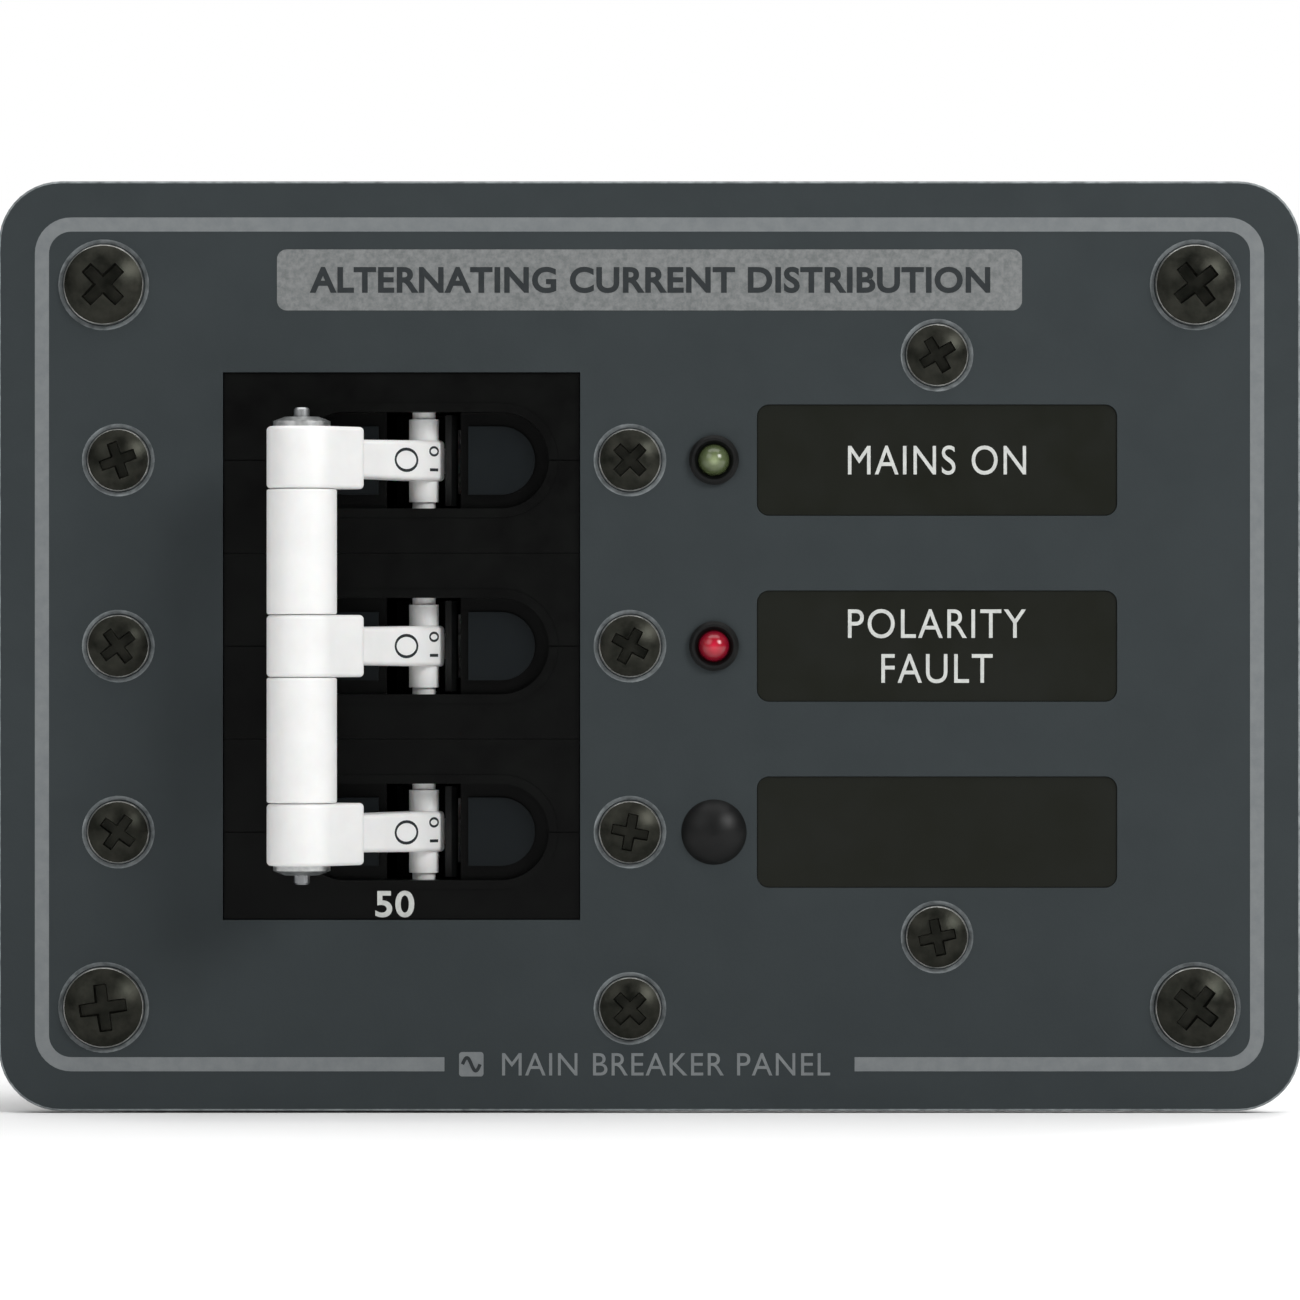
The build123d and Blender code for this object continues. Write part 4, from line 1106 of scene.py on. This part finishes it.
class PANEL_OT_handles(bpy.types.Operator):
    """Finish the toggle handles and their bar, and print the handles' marks"""

    bl_idname = "dist_panel.handles"
    bl_label = "Toggle handles"

    def execute(self, context):
        handles = [f"handle_{i}" for i in (1, 2, 3)]
        dress(handles + ["handle_spacer_upper", "handle_spacer_lower"], white_nylon())
        dress(["dust_shields"], black_nylon())
        dress(["tie_rod"], drawn_steel())
        dress(["tie_rod_retainers"], tinned_copper())
        ink = dark_ink()
        for i, z in enumerate(POLES):
            self.print_marks(i + 1, z, ink)
        return {"FINISHED"}

    def print_marks(self, number, z, ink):
        """A ring and two small signs on the face of one lever."""
        stroke = 0.3 * MM
        thin_stroke = 0.24 * MM
        front = -PRINT_THICKNESS
        ring_x = -5.75 * MM
        sign_x = -1.0 * MM
        sign_z = 0.95 * MM
        dash_half = 0.7 * MM
        shape = bmesh.new()
        ring = arc_points(ring_x, 0, 1.1 * MM, 0, 345, 23)
        add_ribbon(shape, self.stretched(ring, ring_x), stroke, front, 0.0, closed=True)
        sign = arc_points(sign_x, sign_z, 0.42 * MM, 0, 340, 17)
        add_ribbon(shape, self.stretched(sign, sign_x), thin_stroke, front, 0.0, closed=True)
        dash = [(sign_x - dash_half, -sign_z), (sign_x + dash_half, -sign_z)]
        add_ribbon(shape, dash, stroke, front, 0.0)
        lever_half_thickness = 2.0 * MM
        lever_lean = math.radians(55.0)
        lean = Matrix.Rotation(lever_lean, 4, "Z")
        lift = Matrix.Translation((0.0, -lever_half_thickness, 0.0))
        place = Matrix.Translation((PIVOT.x, PIVOT.y, z))
        bmesh.ops.transform(shape, matrix=place @ lean @ lift, verts=shape.verts)
        finish_mesh(f"handle_marks_{number}", shape, ink, "handles")

    def stretched(self, points, centre):
        """Lengthen a mark along the lever, so that it reads as round from the front."""
        stretch = 1.7
        return [(centre + (x - centre) * stretch, z) for x, z in points]


class PANEL_OT_lamps(bpy.types.Operator):
    """Finish the two lamps, their bezels and the blanking plug"""

    bl_idname = "dist_panel.lamps"
    bl_label = "Lamps and plug"

    def execute(self, context):
        for node, name, tones in (
            ("power_indicator_lamp", "green_tinted_epoxy", ("#363F26", "#566140", "#818D68")),
            ("polarity_indicator_lamp", "red_tinted_epoxy", ("#66061A", "#9C0822", "#BA1834")),
        ):
            dress([node], tinted_epoxy(name, node, *tones))
        dress(["indicator_bezels", "blanking_plug"], black_nylon())
        dress(["lamp_leads"], tinned_copper())
        return {"FINISHED"}


class PANEL_OT_board(bpy.types.Operator):
    """Finish the light guide, the board and what is on it"""

    bl_idname = "dist_panel.board"
    bl_label = "Indicator board"

    def execute(self, context):
        dress(["light_guide"], clear_acrylic())
        dress(["indicator_board"], solder_mask())
        dress(["board_standoffs"], black_nylon())
        dress(["backlight_leds"], white_ceramic())
        dress(["dropper_resistors"], resistor_lacquer())
        dress(["smoothing_capacitor"], shrink_sleeve())
        dress(["board_terminal_block"], green_polyamide())
        dress(["board_terminal_screws"], zinc_plated_steel())
        self.solder_joints()
        return {"FINISHED"}

    def solder_joints(self):
        """The small cones of solder where the lamps' leads come through the board."""
        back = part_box("indicator_board")[1].y
        low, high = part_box("lamp_leads")
        x = (low.x + high.x) / 2
        half_lead_pitch = 1.27 * MM
        shape = bmesh.new()
        for middle in POLES[:2]:
            for side in (-half_lead_pitch, half_lead_pitch):
                self.add_cone(shape, x, middle + side, back)
        wire = tinned_copper()
        finish_mesh("lamp_solder_joints", shape, wire, "panel", smooth=True)

    def add_cone(self, shape, x, z, back):
        """One joint: a hollow-sided cone of solder round a lead."""
        steps = 16
        # radius and rise off the board, in millimetres
        profile = ((0.95, 0.0), (0.55, 0.22), (0.36, 0.5), (0.3, 0.9))
        rings = []
        for radius, rise in profile:
            ring = []
            for i in range(steps):
                angle = 2 * math.pi * i / steps
                across = x + radius * MM * math.cos(angle)
                up = z + radius * MM * math.sin(angle)
                ring.append(shape.verts.new((across, back + rise * MM, up)))
            rings.append(ring)
        for here, there in zip(rings, rings[1:]):
            for i in range(steps):
                k = (i + 1) % steps
                shape.faces.new((here[i], here[k], there[k], there[i]))
        shape.faces.new(rings[0])
        shape.faces.new(rings[-1])


class PANEL_OT_terminals(bpy.types.Operator):
    """Finish the terminals, and wind the studs' threads"""

    bl_idname = "dist_panel.terminals"
    bl_label = "Terminals"

    def execute(self, context):
        zinc = zinc_plated_steel()
        dress(["terminal_studs", "terminal_nuts"], zinc)
        straps = [f"{side}_terminal_{i}" for side in ("line", "load") for i in (1, 2, 3)]
        dress(straps, rolled_copper())
        low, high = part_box("terminal_studs")
        head = 3.4 * MM
        radius = 2.4 * MM
        start = high.y - 6.9 * MM
        end = high.y - 0.3 * MM
        shape = bmesh.new()
        for x in (low.x + head, high.x - head):
            for z in POLES:
                add_thread(shape, x, z, radius, start, end, pitch=0.8 * MM, height=0.14 * MM)
        finish_mesh("stud_threads", shape, zinc, "panel")
        return {"FINISHED"}


class PANEL_OT_inside(bpy.types.Operator):
    """Finish what is sealed in the breaker"""

    bl_idname = "dist_panel.inside"
    bl_label = "Breaker insides"

    def execute(self, context):
        dress([f"coil_{i}" for i in (1, 2, 3)], enamelled_copper())
        dress([f"magnet_frame_{i}" for i in (1, 2, 3)], drawn_steel())
        dress(["armatures", "arc_chutes", "carrier_pins"], drawn_steel())
        dress(["delay_tubes"], drawn_brass())
        dress(["contact_carriers"], brown_phenolic())
        dress(["contact_arms"], rolled_copper())
        dress(["carrier_springs"], spring_steel())
        return {"FINISHED"}


class PANEL_OT_stage(bpy.types.Operator):
    """Set out the floor, the backdrop, the lights and the camera"""

    bl_idname = "dist_panel.stage"
    bl_label = "Stage"

    def execute(self, context):
        stage = context.scene.dist_panel_stage
        self.floor()
        self.surroundings(context.scene, stage)
        aim = Vector(stage.aim)
        for name, place, size, power in (
            ("key_light", (0.65, -0.65, 0.5), 0.4, stage.key_power),
            ("fill_light", (-0.6, -0.7, 0.5), 0.7, stage.fill_power),
            ("top_light", (0.0, 0.1, 1.1), 1.4, stage.top_power),
            ("rear_light", (0.35, 0.9, 0.7), 0.6, stage.key_power),
        ):
            self.light(name, Vector(place), aim, size, power)
        self.camera(context.scene, stage, aim)
        context.scene.view_settings.view_transform = "Standard"
        return {"FINISHED"}

    def floor(self):
        """A wide sheet of paper under the panel."""
        half = 3.0
        clearance = 0.2 * MM
        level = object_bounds()[0].z - clearance
        shape = bmesh.new()
        bmesh.ops.create_grid(shape, x_segments=8, y_segments=8, size=half)
        mesh = bpy.data.meshes.new("floor")
        shape.to_mesh(mesh)
        shape.free()
        floor = bpy.data.objects.new("floor", mesh)
        floor.location = (0.0, 0.0, level)
        bpy.context.scene.collection.objects.link(floor)
        mesh.materials.append(stage_paper())
        floor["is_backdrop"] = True

    def surroundings(self, scene, stage):
        """A white studio, seen as pure white, that gives a weaker even light."""
        world = bpy.data.worlds.new("white_studio")
        world.use_nodes = True
        tree = world.node_tree
        tree.nodes.clear()
        seen = add_node(tree, "ShaderNodeLightPath").outputs["Is Camera Ray"]
        white = linear("#FFFFFF")
        weak = {"Color": white, "Strength": stage.world_strength}
        light = add_node(tree, "ShaderNodeBackground", weak)
        paper = add_node(tree, "ShaderNodeBackground", {"Color": white, "Strength": 1.0})
        both = add_node(
            tree,
            "ShaderNodeMixShader",
            {},
            {0: seen, 1: light.outputs["Background"], 2: paper.outputs["Background"]},
        )
        add_node(tree, "ShaderNodeOutputWorld", {}, {"Surface": both.outputs["Shader"]})
        scene.world = world

    def light(self, name, place, aim, size, power):
        """A soft square light that points at the panel."""
        data = bpy.data.lights.new(name, "AREA")
        data.shape = "SQUARE"
        data.size = size
        data.energy = power
        lamp = bpy.data.objects.new(name, data)
        lamp.location = place
        lamp.rotation_mode = "QUATERNION"
        lamp.rotation_quaternion = (aim - place).to_track_quat("-Z", "Y")
        bpy.context.scene.collection.objects.link(lamp)

    def camera(self, scene, stage, aim):
        """A long lens square on to the plate."""
        data = bpy.data.cameras.new("camera")
        data.lens = stage.lens
        distance = stage.view_width / 2 / (data.sensor_width / 2 / data.lens)
        camera = bpy.data.objects.new("camera", data)
        camera.location = aim - Vector((0.0, distance, 0.0))
        camera.rotation_euler = (math.radians(90.0), 0.0, 0.0)
        data.clip_start = 0.01
        data.clip_end = 20.0
        scene.collection.objects.link(camera)
        scene.camera = camera


OPERATORS = [
    PANEL_OT_plate,
    PANEL_OT_labels,
    PANEL_OT_fasteners,
    PANEL_OT_breaker,
    PANEL_OT_handles,
    PANEL_OT_lamps,
    PANEL_OT_board,
    PANEL_OT_terminals,
    PANEL_OT_inside,
    PANEL_OT_stage,
]


class PANEL_PT_build(bpy.types.Panel):
    """Lists the build steps"""

    bl_idname = "PANEL_PT_build"
    bl_label = "Distribution panel"
    bl_space_type = "VIEW_3D"
    bl_region_type = "UI"
    bl_category = "Panel build"

    def draw(self, context):
        for operator in OPERATORS:
            self.layout.operator(operator.bl_idname)
        for group in (context.scene.dist_panel_prints, context.scene.dist_panel_stage):
            for name in group.__annotations__:
                self.layout.prop(group, name)


CLASSES = [PrintSettings, StageSettings, *OPERATORS, PANEL_PT_build]


def register():
    """Register the classes and attach the settings to the scene."""
    for cls in CLASSES:
        bpy.utils.register_class(cls)
    bpy.types.Scene.dist_panel_prints = bpy.props.PointerProperty(type=PrintSettings)
    bpy.types.Scene.dist_panel_stage = bpy.props.PointerProperty(type=StageSettings)


def unregister():
    """Detach the settings and unregister the classes."""
    del bpy.types.Scene.dist_panel_stage
    del bpy.types.Scene.dist_panel_prints
    for cls in reversed(CLASSES):
        bpy.utils.unregister_class(cls)


def main():
    """Build every piece in order."""
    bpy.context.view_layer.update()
    register()
    for operator in OPERATORS:
        group, name = operator.bl_idname.split(".")
        getattr(getattr(bpy.ops, group), name)()


if __name__ == "__main__":
    main()
